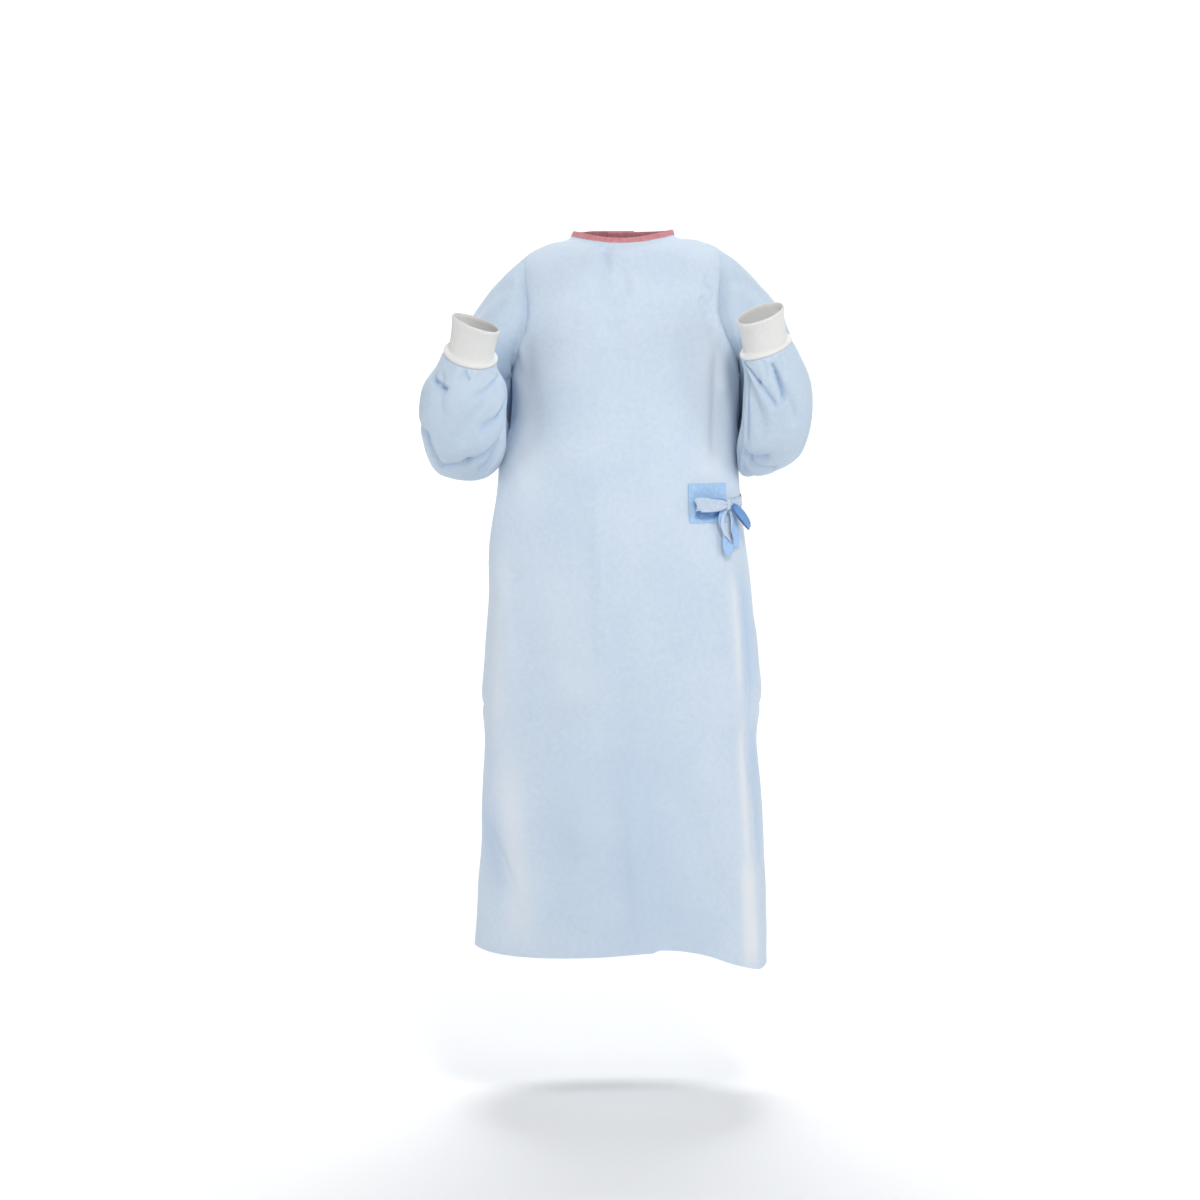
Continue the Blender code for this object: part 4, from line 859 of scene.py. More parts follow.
def gatherFolds(share, angles, seed):
    turn = np.radians(angles)
    ring = np.stack([np.cos(turn), np.sin(turn), np.zeros_like(turn)], -1)
    drift, strength, reach = (
        latticeNoise(ring, size, seed + 3 * k)[None] for k, size in enumerate(gather["patches"]))
    low, more = gather["share"]
    away = (1 - share)[:, None] * sleeve["length"]
    wave = np.cos(turn * gather["count"] + gather["drift"] * drift) - gather["offset"]
    rise = ease(away / gather["start"]) * np.exp(-((away / (gather["length"] * (low + more * reach))) ** 2))
    return gather["depth"] * (low + more * strength) * wave * rise


def fadeEnds(share, ends):
    return (ease(share / ends[0]) * ease((1 - share) / ends[1]))[:, None]


def makeSleeve(side):
    angles = np.arange(sleeve["sides"]) * 360.0 / sleeve["sides"]
    share = sleeveShares()
    seed = gather["seeds"][side]
    points = sleeveTube(side, angles)
    normal = tubeNormals(points)
    ends = fadeEnds(share, sleeve["creaseEnds"])
    fine = sleeveCreases(fineSleeveCreases[side], share, angles, 1.5) * fadeEnds(share, sleeve["fineEnds"])
    height = sleeveCreases(bigSleeveCreases[side], share, angles, 2.0) * ends + fine
    height += clothWaves(points) * sleeve["waves"] * ends + gatherFolds(share, angles, seed)
    underarm = np.radians(turnFrom(270, angles))[None, :] * sleeve["radius"]
    height -= gown["seamDip"] * np.exp(-((underarm / gown["seamDipWidth"]) ** 2)) * ends
    points = points + normal * height[..., None]
    beside = seamShape(points, points[0], seed + 9) + gown["seamDip"]
    points = points + normal * (beside * (1 - ease(share / sleeve["seamEnd"]))[:, None])[..., None]
    points = np.concatenate([armholeRing(side, angles)[1][None], points])
    inner = points - tubeNormals(points) * gown["cloth"]
    piece = makeShell("sleeve" + side.capitalize(), points, inner, [sleeveCloth], tube=True)
    (start, startFade), (end, endFade) = sleevePaintedShade["bodyFrom"], sleevePaintedShade["bodyTo"]
    fromBody = turnFrom(sleevePaintedShade["bodyAngle"], angles)[None, :]
    nearBody = (ease((share - start) / startFade) * ease((end - share) / endFade))[:, None]
    nearBody = nearBody * np.exp(-((fromBody / sleevePaintedShade["bodyWidth"]) ** 2))
    # Painted shade: bluer in the deeper folds and on the sleeve beside the body.
    paintedLight = np.clip(fine / sleevePaintedShade["foldDepth"], sleevePaintedShade["foldMost"], 0)
    paintedLight = paintedLight + sleevePaintedShade["body"] * nearBody
    addPointValues(piece, "paintedLight", np.tile(np.concatenate([paintedLight[:1], paintedLight]).ravel(), 2))
    finishPiece(piece, "sleeve_" + side, "panel_cloth", flat=sleeve["flat"], held="hung",
                area=sleeve["area"], rests_on=["frontPanel"])


makeSleeve("right")
makeSleeve("left")

print("knit cuffs")
cuffProfile = {  # metres up from the sleeve, with the rolled seam at the base
    "along": (0.0000, 0.0010, 0.0032, 0.0060, 0.0080, 0.0094, 0.0125, 0.0180, 0.0340, 0.0500, 0.0622, 0.0636),
    "outer": (0.0432, 0.0445, 0.0452, 0.0446, 0.0426, 0.0390, 0.0376, 0.0372, 0.0372, 0.0385, 0.0399, 0.0394),
    "inner": (0.0405, 0.0396, 0.0386, 0.0378, 0.0370, 0.0362, 0.0356, 0.0354, 0.0354, 0.0367, 0.0380, 0.0386),
}
knit = {
    "colour": "#e8e7e5",
    # the second colour is painted shade in the hollows between the knit's loops
    "shade": "#dad9d7",
    "seamColour": "#e2e2e0",
    "ribCount": 76,  # ribs 3 mm apart
    "ribDepth": 0.00055,
    "ribSteps": 6,  # columns to each rib
    "ribRound": 0.7,
    "rows": 46,
    "bandRows": 10,
    "bandTop": 0.0092,
    "bandStep": 0.0004,  # the band's cloth ends this far below it
    "ribEnds": (0.004, 0.0006, 0.0012),  # fade above the band, distance short of the lip, fade there
    "lip": (0.0014, 0.0008, 0.0003, 0.0),  # rows close to the free edge, metres below it
    "wave": 0.0008,
    "waveSize": 0.8,
    "wavePlace": (0.9, 18.0),  # how many waves round it and up it
    "waveStart": 0.02,
    "edgeSway": 0.0012,
    "coursePitch": 0.0013,  # rows of knit loops
    "loopSlant": 0.00077,
    "fluff": 0.0011,
    "dents": {"left": ((0.020, 118.0, 0.0035, 0.0016),), "right": ()},  # up, degrees round, width, depth
    "seeds": {"right": 51, "left": 67},
}


def makeKnit(name, colour, shade):
    # Texturised polyester rib knit: soft and matt, with rows of small V-shaped loops along every rib, their
    # hollows painted darker as painted shade.
    material, tree, surface = newMaterial(name, 0.9, 0.2, 1.54)
    flat = addNode(tree, "ShaderNodeUVMap")
    across, up = addNode(tree, "ShaderNodeSeparateXYZ", {0: flat}).outputs[:2]
    lean = addNode(tree, "ShaderNodeMath", {"operation": "PINGPONG", 0: across, 1: knit["loopSlant"]})
    slope = addNode(tree, "ShaderNodeMath", {"operation": "ADD", 0: up, 1: lean})
    turn = addNode(tree, "ShaderNodeMath", {
        "operation": "MULTIPLY", 0: slope, 1: 2 * math.pi / knit["coursePitch"]})
    loops = addNode(tree, "ShaderNodeMath", {"operation": "SINE", 0: turn})
    fluff = addNode(tree, "ShaderNodeTexNoise", {"Scale": 1 / knit["fluff"], "Detail": 3.0, "Vector": flat})
    rise = addNode(tree, "ShaderNodeMath", {"operation": "MULTIPLY_ADD", 0: loops, 1: 0.5, 2: fluff})
    share = addNode(tree, "ShaderNodeMapRange", {"From Min": 0.1, "From Max": 0.9, "Value": rise})
    # Painted shade: the low parts of the loops take the darker colour.
    tint = addNode(tree, "ShaderNodeMix", {
        "data_type": "RGBA", 0: share, 6: colourOf(shade), 7: colourOf(colour)})
    bump = addNode(tree, "ShaderNodeBump", {"Strength": 0.25, "Distance": 0.0004, "Height": rise})
    addNode(tree, surface, {"Base Color": tint.outputs[2], "Normal": bump})
    return material


def newTree(name, sockets):
    # Each socket is a name with its kind. The tree takes geometry in and gives geometry out.
    tree = bpy.data.node_groups.new(name, "GeometryNodeTree")
    tree.interface.new_socket("Geometry", in_out="INPUT", socket_type="NodeSocketGeometry")
    for label, kind in sockets:
        tree.interface.new_socket(label, in_out="INPUT", socket_type="NodeSocket" + kind)
    tree.interface.new_socket("Geometry", in_out="OUTPUT", socket_type="NodeSocketGeometry")
    return tree, addNode(tree, "NodeGroupInput").outputs


def endTree(tree, geometry, materials):  # materials: (material, what it is set on)
    last = addNode(tree, "GeometryNodeRealizeInstances", {0: geometry})
    for material, selection in materials:
        last = addNode(tree, "GeometryNodeSetMaterial", {
            "Material": material, "Geometry": last, "Selection": selection})
    addNode(tree, "NodeGroupOutput", {0: last})


def bakeNodes(holder, tree, values):
    modifier = holder.modifiers.new(tree.name, "NODES")
    modifier.node_group = tree
    for socket in tree.interface.items_tree:
        if socket.in_out == "INPUT" and socket.name in values:
            modifier[socket.identifier] = values[socket.name]
    graph = bpy.context.evaluated_depsgraph_get()
    mesh = bpy.data.meshes.new_from_object(holder.evaluated_get(graph), depsgraph=graph)
    holder.modifiers.remove(modifier)
    holder.data = mesh


cuffKnit = makeKnit("polyester rib knit", knit["colour"], knit["shade"])
cuffSeam = makeKnit("overlocked knit seam", knit["seamColour"], knit["colour"])
ribTree, ribInputs = newTree("cuffRibs", (("Rib count", "Int"), ("Rib depth", "Float")))
turnShare, ribMask, seamBand = (
    addNode(ribTree, "GeometryNodeInputNamedAttribute", {"data_type": "FLOAT", "Name": name})
    for name in ("ribTurn", "ribMask", "seamBand"))
# Each step works on the one before: round ribs with sharp grooves between, as a height below their tops.
ribHeight = turnShare
for operation, value in (
    ("MULTIPLY", ribInputs["Rib count"]), ("MULTIPLY", math.pi), ("SINE", 0.0), ("ABSOLUTE", 0.0),
    ("POWER", knit["ribRound"]), ("SUBTRACT", 1.0), ("MULTIPLY", ribMask),
    ("MULTIPLY", ribInputs["Rib depth"]),
):
    ribHeight = addNode(ribTree, "ShaderNodeMath", {"operation": operation, 0: ribHeight, 1: value})
ribOffset = addNode(ribTree, "ShaderNodeVectorMath", {
    "operation": "SCALE", 0: addNode(ribTree, "GeometryNodeInputNormal"), "Scale": ribHeight})
ribMoved = addNode(ribTree, "GeometryNodeSetPosition", {
    "Geometry": ribInputs["Geometry"], "Offset": ribOffset})
inBand = addNode(ribTree, "FunctionNodeCompare", {
    "data_type": "FLOAT", "operation": "GREATER_THAN", 0: seamBand, 1: 0.5})
endTree(ribTree, ribMoved, ((cuffKnit, True), (cuffSeam, inBand)))


def makeCuff(side):
    seed = knit["seeds"][side]
    columns = knit["ribCount"] * knit["ribSteps"]
    angles = np.arange(columns) * 360.0 / columns
    turn = np.radians(angles)
    lip = cuff["length"] - np.array(knit["lip"])
    up = np.concatenate([
        np.linspace(0, knit["bandTop"], knit["bandRows"] + 1)[:-1],
        np.linspace(knit["bandTop"], lip[0], knit["rows"]), lip[1:]])
    ring = np.stack([np.cos(turn), np.sin(turn), 0 * turn], -1)[None]
    along = up[:, None]
    wavesRound, wavesUp = knit["wavePlace"]
    spot = ring * wavesRound + along[..., None] * np.array([0, 0, wavesUp])
    uneven = knit["wave"] * latticeNoise(spot, knit["waveSize"], seed) * ease(along / knit["waveStart"])
    for height, degrees, width, depth in knit["dents"][side]:
        around = np.radians(turnFrom(degrees, angles)) * cuff["baseRadius"]
        uneven = uneven - depth * np.exp(-(((along - height) / width) ** 2 + (around[None] / width) ** 2))
    sway = knit["edgeSway"] * latticeNoise(ring, wavesRound, seed + 4) * (along / cuff["length"]) ** 3
    walls = []
    for wall in ("outer", "inner"):
        radius = curveThrough(along, np.array(cuffProfile["along"]), np.array(cuffProfile[wall])) + uneven
        walls.append(cuffRing(side, along + sway, radius, angles[None] + 0 * along)[:, :: sideSign[side]])
    piece = makeShell("cuff" + side.capitalize(), *walls, [cuffKnit], tube=True)
    start, short, end = knit["ribEnds"]
    mask = ease((up - knit["bandTop"]) / start) * ease((cuff["length"] - short - up) / end)
    addPointValues(piece, "ribTurn", np.tile(np.arange(columns) / columns, 2 * len(up)))
    addPointValues(piece, "ribMask", np.repeat(np.concatenate([mask, 0 * mask]), columns))
    band = (up < knit["bandTop"] - knit["bandStep"]) * 1.0
    addPointValues(piece, "seamBand", np.tile(np.repeat(band, columns), 2))
    bakeNodes(piece, ribTree, {"Rib count": knit["ribCount"], "Rib depth": knit["ribDepth"]})
    finishPiece(piece, "cuff_" + side, "knit_cuff", flat=cuff["flat"], held="stretched",
                rests_on=["sleeve" + side.capitalize()])


makeCuff("right")
makeCuff("left")

print("neck binding and tab")
binding = {
    "colour": "#ce898f",
    "shade": "#c0767d",
    "low": 0.0492,
    "high": 0.0602,
    "thick": 0.0030,
    "middle": -0.0006,
    "from": 194.5,
    "to": -195.5,
    "steps": 420,
    "sides": 20,
    "square": 0.55,  # how square its section is, 1 for round
    "sway": (0.0004, 0.22, 71),  # its lower edge wanders: metres, size, seed
    "grip": (0.10, 0.05, 73),  # its thickness varies
    "pitch": 0.0015,
    "meshCell": 0.0013,
    "flat": (0.014, 0.56),  # folded double over the cloth's edge
}
tab = {
    "colour": "#e9eaec",
    "shade": "#d6d9dd",
    "angles": (-170.0, -210.0),
    "levels": (0.019, 0.044),
    "corner": (0.06, 0.16),
    "thick": 0.0014,
    "gap": 0.0007,
    "steps": (90, 34),
    "hookPitch": 0.0016,
    "overEdge": 3.0,  # degrees past the wrap's edge where it steps down
    "flat": (0.026, 0.062),
}
stepDegrees = 4.0  # over which a piece steps over the wrap's edge
tapeCloud = 0.006  # the fibre's mottling, metres


def makeTape(name, colour, shade, pitch, roughness=0.75, sheen=0.1):
    # Folded nonwoven strip: matt, with faint pressed dots and mottled fibre.
    material, tree, surface = newMaterial(name, roughness, sheen, 1.49)
    spot = addNode(tree, "ShaderNodeTexCoord").outputs["Object"]
    cloud = addNode(tree, "ShaderNodeTexNoise", {"Scale": 1 / tapeCloud, "Detail": 3.0, "Vector": spot})
    share = addNode(tree, "ShaderNodeMapRange", {"From Min": 0.35, "From Max": 0.65, "Value": cloud})
    tint = addNode(tree, "ShaderNodeMix", {
        "data_type": "RGBA", 0: share, 6: colourOf(shade), 7: colourOf(colour)})
    dots = addNode(tree, "ShaderNodeTexVoronoi", {
        "Scale": 1 / pitch, "Randomness": 0.2, "Vector": addNode(tree, "ShaderNodeUVMap")})
    bump = addNode(tree, "ShaderNodeBump", {"Strength": 0.2, "Distance": 0.0003, "Height": dots})
    addNode(tree, surface, {"Base Color": tint.outputs[2], "Normal": bump})
    return material


bindingCloth = makeTape("folded nonwoven neck tape", binding["colour"], binding["shade"], binding["pitch"])
tabCloth = makeTape("hook and loop tab", tab["colour"], tab["shade"], tab["hookPitch"], 0.6, 0.25)


def makeBinding():
    size = binding["sides"]
    turn = np.linspace(0, 2 * math.pi, size + 1)[:-1]
    around = np.sign(np.sin(turn)) * np.abs(np.sin(turn)) ** binding["square"]
    across = np.sign(np.cos(turn)) * np.abs(np.cos(turn)) ** binding["square"]
    middle, half = (binding["high"] + binding["low"]) / 2, (binding["high"] - binding["low"]) / 2
    angle = np.linspace(binding["from"], binding["to"], binding["steps"] + 1)[:, None]
    ring = np.concatenate([np.sin(np.radians(angle)), np.cos(np.radians(angle)), 0 * angle], -1)
    sway, grip = (
        depth * latticeNoise(ring, length, seed)[:, None]
        for depth, length, seed in (binding["sway"], binding["grip"]))
    level = middle + half * around[None] + sway * (around < 0)
    out = binding["middle"] + binding["thick"] / 2 * across[None] * (1 + grip)
    angles = angle + 0 * level
    face, normal = bodyFace(angles, np.minimum(level, gown["bindingTop"])), bodyNormal(angles, level)
    points = face + normal * (out + wrapLift(angles, level))[..., None]
    points[..., 2] += np.maximum(level - gown["bindingTop"], 0)
    count = len(points)
    faces = [tuple(range(size)), tuple((count - 1) * size + k for k in reversed(range(size)))]
    for i in range(count - 1):
        for k in range(size):
            a, b = i * size + k, i * size + (k + 1) % size
            faces.append((b, a, a + size, b + size))
    mesh = bpy.data.meshes.new("neckBinding")
    mesh.from_pydata(points.reshape(-1, 3).tolist(), [], faces)
    layer = mesh.uv_layers.new(name="clothUV")
    for corner, loop in zip(layer.data, mesh.loops):
        corner.uv = [place * binding["meshCell"] for place in reversed(divmod(loop.vertex_index, size))]
    piece = smoothPiece("neckBinding", mesh, [bindingCloth])
    finishPiece(piece, "neck_binding", "neck_tape", flat=binding["flat"], held="folded",
                rests_on=["frontPanel"])


cornerRound = 2.2


def roundedGrid(steps, firstEnds, secondEnds, corner):
    # A rectangle of places whose corners are rounded off, as shares of its sides.
    a, b = np.meshgrid(np.linspace(-1, 1, steps[0]), np.linspace(-1, 1, steps[1]))
    nearA, nearB = (np.clip((np.abs(c) - 1 + size) / size, 0, 1) for c, size in zip((a, b), corner))
    a, b = a * (1 - corner[0] * nearB**cornerRound), b * (1 - corner[1] / 2 * nearA**cornerRound)
    midA, halfA = (firstEnds[0] + firstEnds[1]) / 2, (firstEnds[1] - firstEnds[0]) / 2
    midB, halfB = (secondEnds[0] + secondEnds[1]) / 2, (secondEnds[1] - secondEnds[0]) / 2
    return midA + a * halfA, midB + b * halfB


def makeTab():
    angle, level = roundedGrid(tab["steps"], tab["angles"], tab["levels"], tab["corner"])
    edge = curveThrough(level, edgeTable["level"], edgeTable["outer"])
    lift = tab["gap"] - ease((edge - tab["overEdge"] - angle) / stepDegrees) * wrapLift(angle, level)
    walls = [clothPoint(angle, level, lift + thick)[:, ::-1] for thick in (tab["thick"], 0)]
    piece = makeShell("neckTab", *walls, [tabCloth])
    finishPiece(piece, "neck_tab", "neck_tab", flat=tab["flat"], held="laid", rests_on=["backRightPanel"])


makeBinding()
makeTab()

print("patch, ties and bow")
patch = {
    "colour": "#abcded",
    "shade": "#a1c4e7",
    "angles": (31.5, 55.0),
    "levels": (-0.4915, -0.4255),
    "corner": (0.03, 0.03),
    "steps": (80, 64),
    "pitch": 0.0021,
    "thick": 0.0006,
    "gap": 0.0004,
    "uneven": (0.0005, 0.02, 81),  # metres off the cloth, size, seed
    "flat": (0.072, 0.068),
    "stitchInset": (0.8, 0.0022),  # degrees, metres
}
tie = {
    "pale": "#c6d4e4",
    "paleDeep": "#b8c9dc",
    "blue": "#6c99cf",
    "blueDeep": "#5f8cc3",
    # the blue side painted lighter, a painted highlight copy of the blue for the tails
    "light": "#a6c8ee",
    "lightDeep": "#98bce6",
    "pitch": 0.0018,
    "cloth": 0.0005,
    "columns": 26,
    "stepsPerMetre": 1000,
    "pleat": 0.0014,  # where a tie is drawn into the knot
    "pleatHalfTurns": 2.2,
    "crumple": 0.0007,
    "crumpleLength": 0.02,
    "crumpleSize": 0.8,
    "curl": 0.10,
    "curlLevel": 0.4,
    "drawn": 0.35,  # share of a loop or tail that the knot draws together
    "turnOver": 0.16,  # width over which a turned edge rises
    "width": 0.026,
}
knot = {
    "angle": 54.0,
    "level": -0.460,
    "side": -0.0050,
    "up": -0.0015,
    "wide": 0.0115,
    "high": 0.0205,
    "deep": 0.0120,
    "out": 0.0100,
    "square": 0.75,
    "fold": 0.0005,
    "cells": (72, 48),
    "lift": 0.002,  # the waist tie rises to the knot
    "liftFrom": 66.0,
    "liftDegrees": 9.0,
    "foldWaves": (20, 3, 0.6, 9),  # pleats across it, their slant, and how far and how often they wander
    "pinch": (0.10, 5),
}
ribbonColumns = ("side", "out", "up", "half", "turn", "lean")
loopRight = (
    (-0.0080, 0.0140, -0.0010, 0.0056, 0.0, 0.0),
    (-0.0150, 0.0168, -0.0014, 0.0082, 2.0, 0.0),
    (-0.0265, 0.0188, -0.0016, 0.0108, 2.0, 0.0),
    (-0.0400, 0.0190, -0.0018, 0.0120, 3.0, 0.0),
    (-0.0515, 0.0180, -0.0014, 0.0124, 4.0, 0.0),
    (-0.0590, 0.0138, -0.0020, 0.0120, 4.0, -3.0),
    (-0.0555, 0.0092, -0.0080, 0.0112, 3.0, -9.0),
    (-0.0490, 0.0068, -0.0122, 0.0112, 2.0, -12.0),
    (-0.0400, 0.0056, -0.0138, 0.0112, 0.0, -7.0),
    (-0.0290, 0.0056, -0.0120, 0.0104, 0.0, 0.0),
    (-0.0175, 0.0066, -0.0080, 0.0084, 0.0, 0.0),
    (-0.0080, 0.0080, -0.0030, 0.0052, 0.0, 0.0),
)
loopLeft = (
    (0.0030, 0.0140, -0.0030, 0.0044, 0.0, 24.0),
    (0.0068, 0.0184, -0.0094, 0.0070, 0.0, 38.0),
    (0.0128, 0.0216, -0.0184, 0.0082, 0.0, 46.0),
    (0.0204, 0.0232, -0.0290, 0.0082, 0.0, 49.0),
    (0.0312, 0.0224, -0.0392, 0.0068, 0.0, 48.0),
    (0.0412, 0.0184, -0.0446, 0.0040, 0.0, 46.0),
    (0.0404, 0.0146, -0.0398, 0.0058, 0.0, 48.0),
    (0.0312, 0.0122, -0.0282, 0.0080, 0.0, 50.0),
    (0.0212, 0.0100, -0.0170, 0.0078, 0.0, 48.0),
    (0.0090, 0.0086, -0.0062, 0.0044, 0.0, 38.0),
)
tailRight = (
    (-0.0080, 0.0095, -0.0124, 0.0064, 0.0, 112.0),
    (-0.0150, 0.0112, -0.0200, 0.0102, 0.0, 106.0),
    (-0.0165, 0.0110, -0.0300, 0.0120, 0.0, 98.0),
    (-0.0124, 0.0105, -0.0420, 0.0120, 0.0, 88.0),
    (-0.0104, 0.0105, -0.0540, 0.0120, 0.0, 76.0),
    (-0.0132, 0.0108, -0.0660, 0.0120, 0.0, 62.0),
    (-0.0146, 0.0110, -0.0770, 0.0106, 0.0, 50.0),
    (-0.0126, 0.0110, -0.0862, 0.0070, 0.0, 42.0),
)
tailLeft = (
    (0.0022, 0.0070, -0.0135, 0.0050, 0.0, 84.0),
    (0.0066, 0.0060, -0.0260, 0.0092, 0.0, 80.0),
    (0.0104, 0.0060, -0.0400, 0.0104, 0.0, 80.0),
    (0.0116, 0.0064, -0.0560, 0.0098, 0.0, 86.0),
    (0.0114, 0.0064, -0.0744, 0.0084, 0.0, 94.0),
)
# Where an edge turns over: which edge, how far it stands off, and (place along, fold across) from -1 to 1.
folds = {
    "bowLoopRight": (1, -0.0005, ((0.00, 1.00), (0.08, 0.92), (0.26, 0.90), (0.36, 0.94), (0.42, 1.00))),
    "bowTailRight": (1, 0.0012, (
        (0.00, 0.34), (0.20, 0.28), (0.34, 0.02), (0.56, 0.00), (0.66, 0.50), (0.74, 1.00))),
    "bowTailLeft": (-1, 0.0010, ((0.00, 0.00), (0.16, 0.10), (0.44, 0.70), (0.56, 1.00))),
}
waistTie = {
    "steps": 240,
    "gap": 0.0007,
    "overEdge": 5.0,  # degrees before the wrap's edge where it steps up
    "drawnFrom": 100,
    "drawnDegrees": 45,
    "pleatHalfTurns": 2.6,
    "crumpleDegrees": 22,
    "crumplesAcross": 1.6,
    "seed": 83,
    "length": 0.30,
    "area": 0.0046,
}
waistTieColumns = ("angle", "level", "half")
waistTieRows = (
    (126.0, -0.4560, 0.0120), (112.0, -0.4560, 0.0120), (90.0, -0.4572, 0.0100),
    (72.0, -0.4578, 0.0074), (57.0, -0.4585, 0.0052),
)

patchCloth = makeTape("laminated nonwoven patch", patch["colour"], patch["shade"], patch["pitch"], sheen=0.05)
tiePale, tieBlue, tieBlueLit = (
    makeTape("nonwoven tie, " + side, tie[colour], tie[colour + "Deep"], tie["pitch"], roughness)
    for side, colour, roughness in (
        ("pale side", "pale", 0.75), ("film-backed blue side", "blue", 0.6),
        ("film-backed side, painted lit", "light", 0.6)))


def makePatch():
    angle, level = roundedGrid(patch["steps"], patch["angles"], patch["levels"], patch["corner"])
    depth, size, seed = patch["uneven"]
    lift = patch["gap"] + depth * (1 + latticeNoise(bodyFace(angle, level), size, seed))
    walls = [clothPoint(angle, level, lift + thick) for thick in (patch["thick"], 0)]
    piece = makeShell("tiePatch", *walls, [patchCloth])
    finishPiece(piece, "tie_patch", "tie_patch", flat=patch["flat"], held="laid", rests_on=["frontPanel"])


def makeWaistTie():
    places = asTable(waistTieColumns, waistTieRows)
    order = np.arange(len(waistTieRows))
    place = np.linspace(0, order[-1], waistTie["steps"])
    angle, middle, half = (curveThrough(place, order, places[column])[:, None] for column in waistTieColumns)
    edge = 360 + curveThrough(np.array([knot["level"]]), edgeTable["level"], edgeTable["outer"])[0]
    over = ease((angle - edge + waistTie["overEdge"]) / stepDegrees)
    lift = waistTie["gap"] + over * wrapLift(angle - 360, middle)
    lift = lift + knot["lift"] * ease((knot["liftFrom"] - angle) / knot["liftDegrees"])
    share = np.linspace(-1, 1, tie["columns"])
    level = middle + half * share
    drawn = ease((waistTie["drawnFrom"] - angle) / waistTie["drawnDegrees"])
    none = 0 * level
    spot = [angle / waistTie["crumpleDegrees"] + none, share * waistTie["crumplesAcross"] + none, none]
    pleats = (1 + np.cos(share * waistTie["pleatHalfTurns"] * math.pi + 1.0)) / 2
    lift = lift + 0.5 * tie["pleat"] * drawn * pleats
    lift = lift + tie["crumple"] * (1 + latticeNoise(np.stack(spot, -1), 1.0, waistTie["seed"]))
    angle = angle + none
    walls = [clothPoint(angle, level, lift + thick)[::-1].transpose(1, 0, 2) for thick in (tie["cloth"], 0)]
    piece = makeShell("waistTie", *walls, [tiePale, tieBlue])
    finishPiece(piece, "waist_tie", "tie_cloth", flat=(tie["width"], waistTie["length"]), held="gathered",
                area=waistTie["area"], rests_on=["frontPanel", "backRightPanel"])


def knotFrame(side, up):  # the place on the front, and the ways aside, out and up there
    level = knot["level"] + up
    step = 0.05
    moved = bodyFace(knot["angle"] + step, level) - bodyFace(knot["angle"] - step, level)
    angle = knot["angle"] + side * 2 * step / np.linalg.norm(moved, axis=-1)
    out = bodyNormal(angle, level)
    upward = np.array([0.0, 0.0, 1.0])
    return bodyFace(angle, level), unit(np.cross(upward, out)), out, upward


def makeRibbon(name, node, rows, length, ends, seed, cloths):
    # ends: how strongly each end is drawn together, at the knot 1 and loose 0
    ribbon = asTable(ribbonColumns, rows)
    order = np.arange(len(rows))
    place = np.linspace(0, len(rows) - 1, int(length * tie["stepsPerMetre"]) + 1)
    at = {column: curveThrough(place, order, ribbon[column]) for column in ribbonColumns}
    foot, side, out, up = knotFrame(at["side"], at["up"])
    at = {column: values[:, None] for column, values in at.items()}
    middle = foot + at["out"] * out
    turn, lean = np.radians(at["turn"]), np.radians(at["lean"])
    width = np.cos(lean) * (np.cos(turn) * up + np.sin(turn) * out) + np.sin(lean) * side
    forward = unit(np.gradient(middle, axis=0))
    width = unit(width - np.sum(width * forward, axis=-1, keepdims=True) * forward)
    normal = unit(np.cross(forward, width))
    share = np.linspace(-1, 1, tie["columns"])[None, :, None]
    part = np.linspace(0, 1, len(place))[:, None, None]
    reach = tie["drawn"]
    drawn = np.maximum(ends[0] * ease((reach - part) / reach), ends[1] * ease((part - 1 + reach) / reach))
    pleats = tie["pleat"] * drawn * np.cos(share * tie["pleatHalfTurns"] * math.pi + seed)
    none = 0 * share * part
    spot = np.concatenate([part * length / tie["crumpleLength"] + none, share + none, seed + none], -1)
    crumple = tie["crumple"] * latticeNoise(spot, tie["crumpleSize"], seed)[..., None]
    curl = tie["curl"] * at["half"][:, None] * (share**2 - tie["curlLevel"]) * (1 - drawn)
    edge, gap, turned = folds.get(name, (1, 0.0, ((0.0, 1.0), (1.0, 1.0))))
    over = np.maximum(share * edge - np.interp(part, *zip(*turned)), 0)
    across = share - 2 * edge * over
    sheet = middle[:, None] + width[:, None] * across * at["half"][:, None]
    sheet = sheet + normal[:, None] * (pleats + crumple + curl + gap * ease(over / tie["turnOver"]))
    face = gridNormals(sheet.transpose(1, 0, 2)).transpose(1, 0, 2)
    flat = slice(0, 3) if edge > 0 else slice(-3, None)  # columns of the edge that isn't turned over
    face = face * np.sign(np.sum((face * normal[:, None])[:, flat])) * tie["cloth"] / 2
    piece = makeShell(name, sheet + face, sheet - face, cloths)
    area = round(length * 2 * float(at["half"].mean()), 5)
    finishPiece(piece, node, "tie_cloth", flat=(tie["width"], length), held="folded", area=area,
                rests_on=["tiePatch", "frontPanel"])


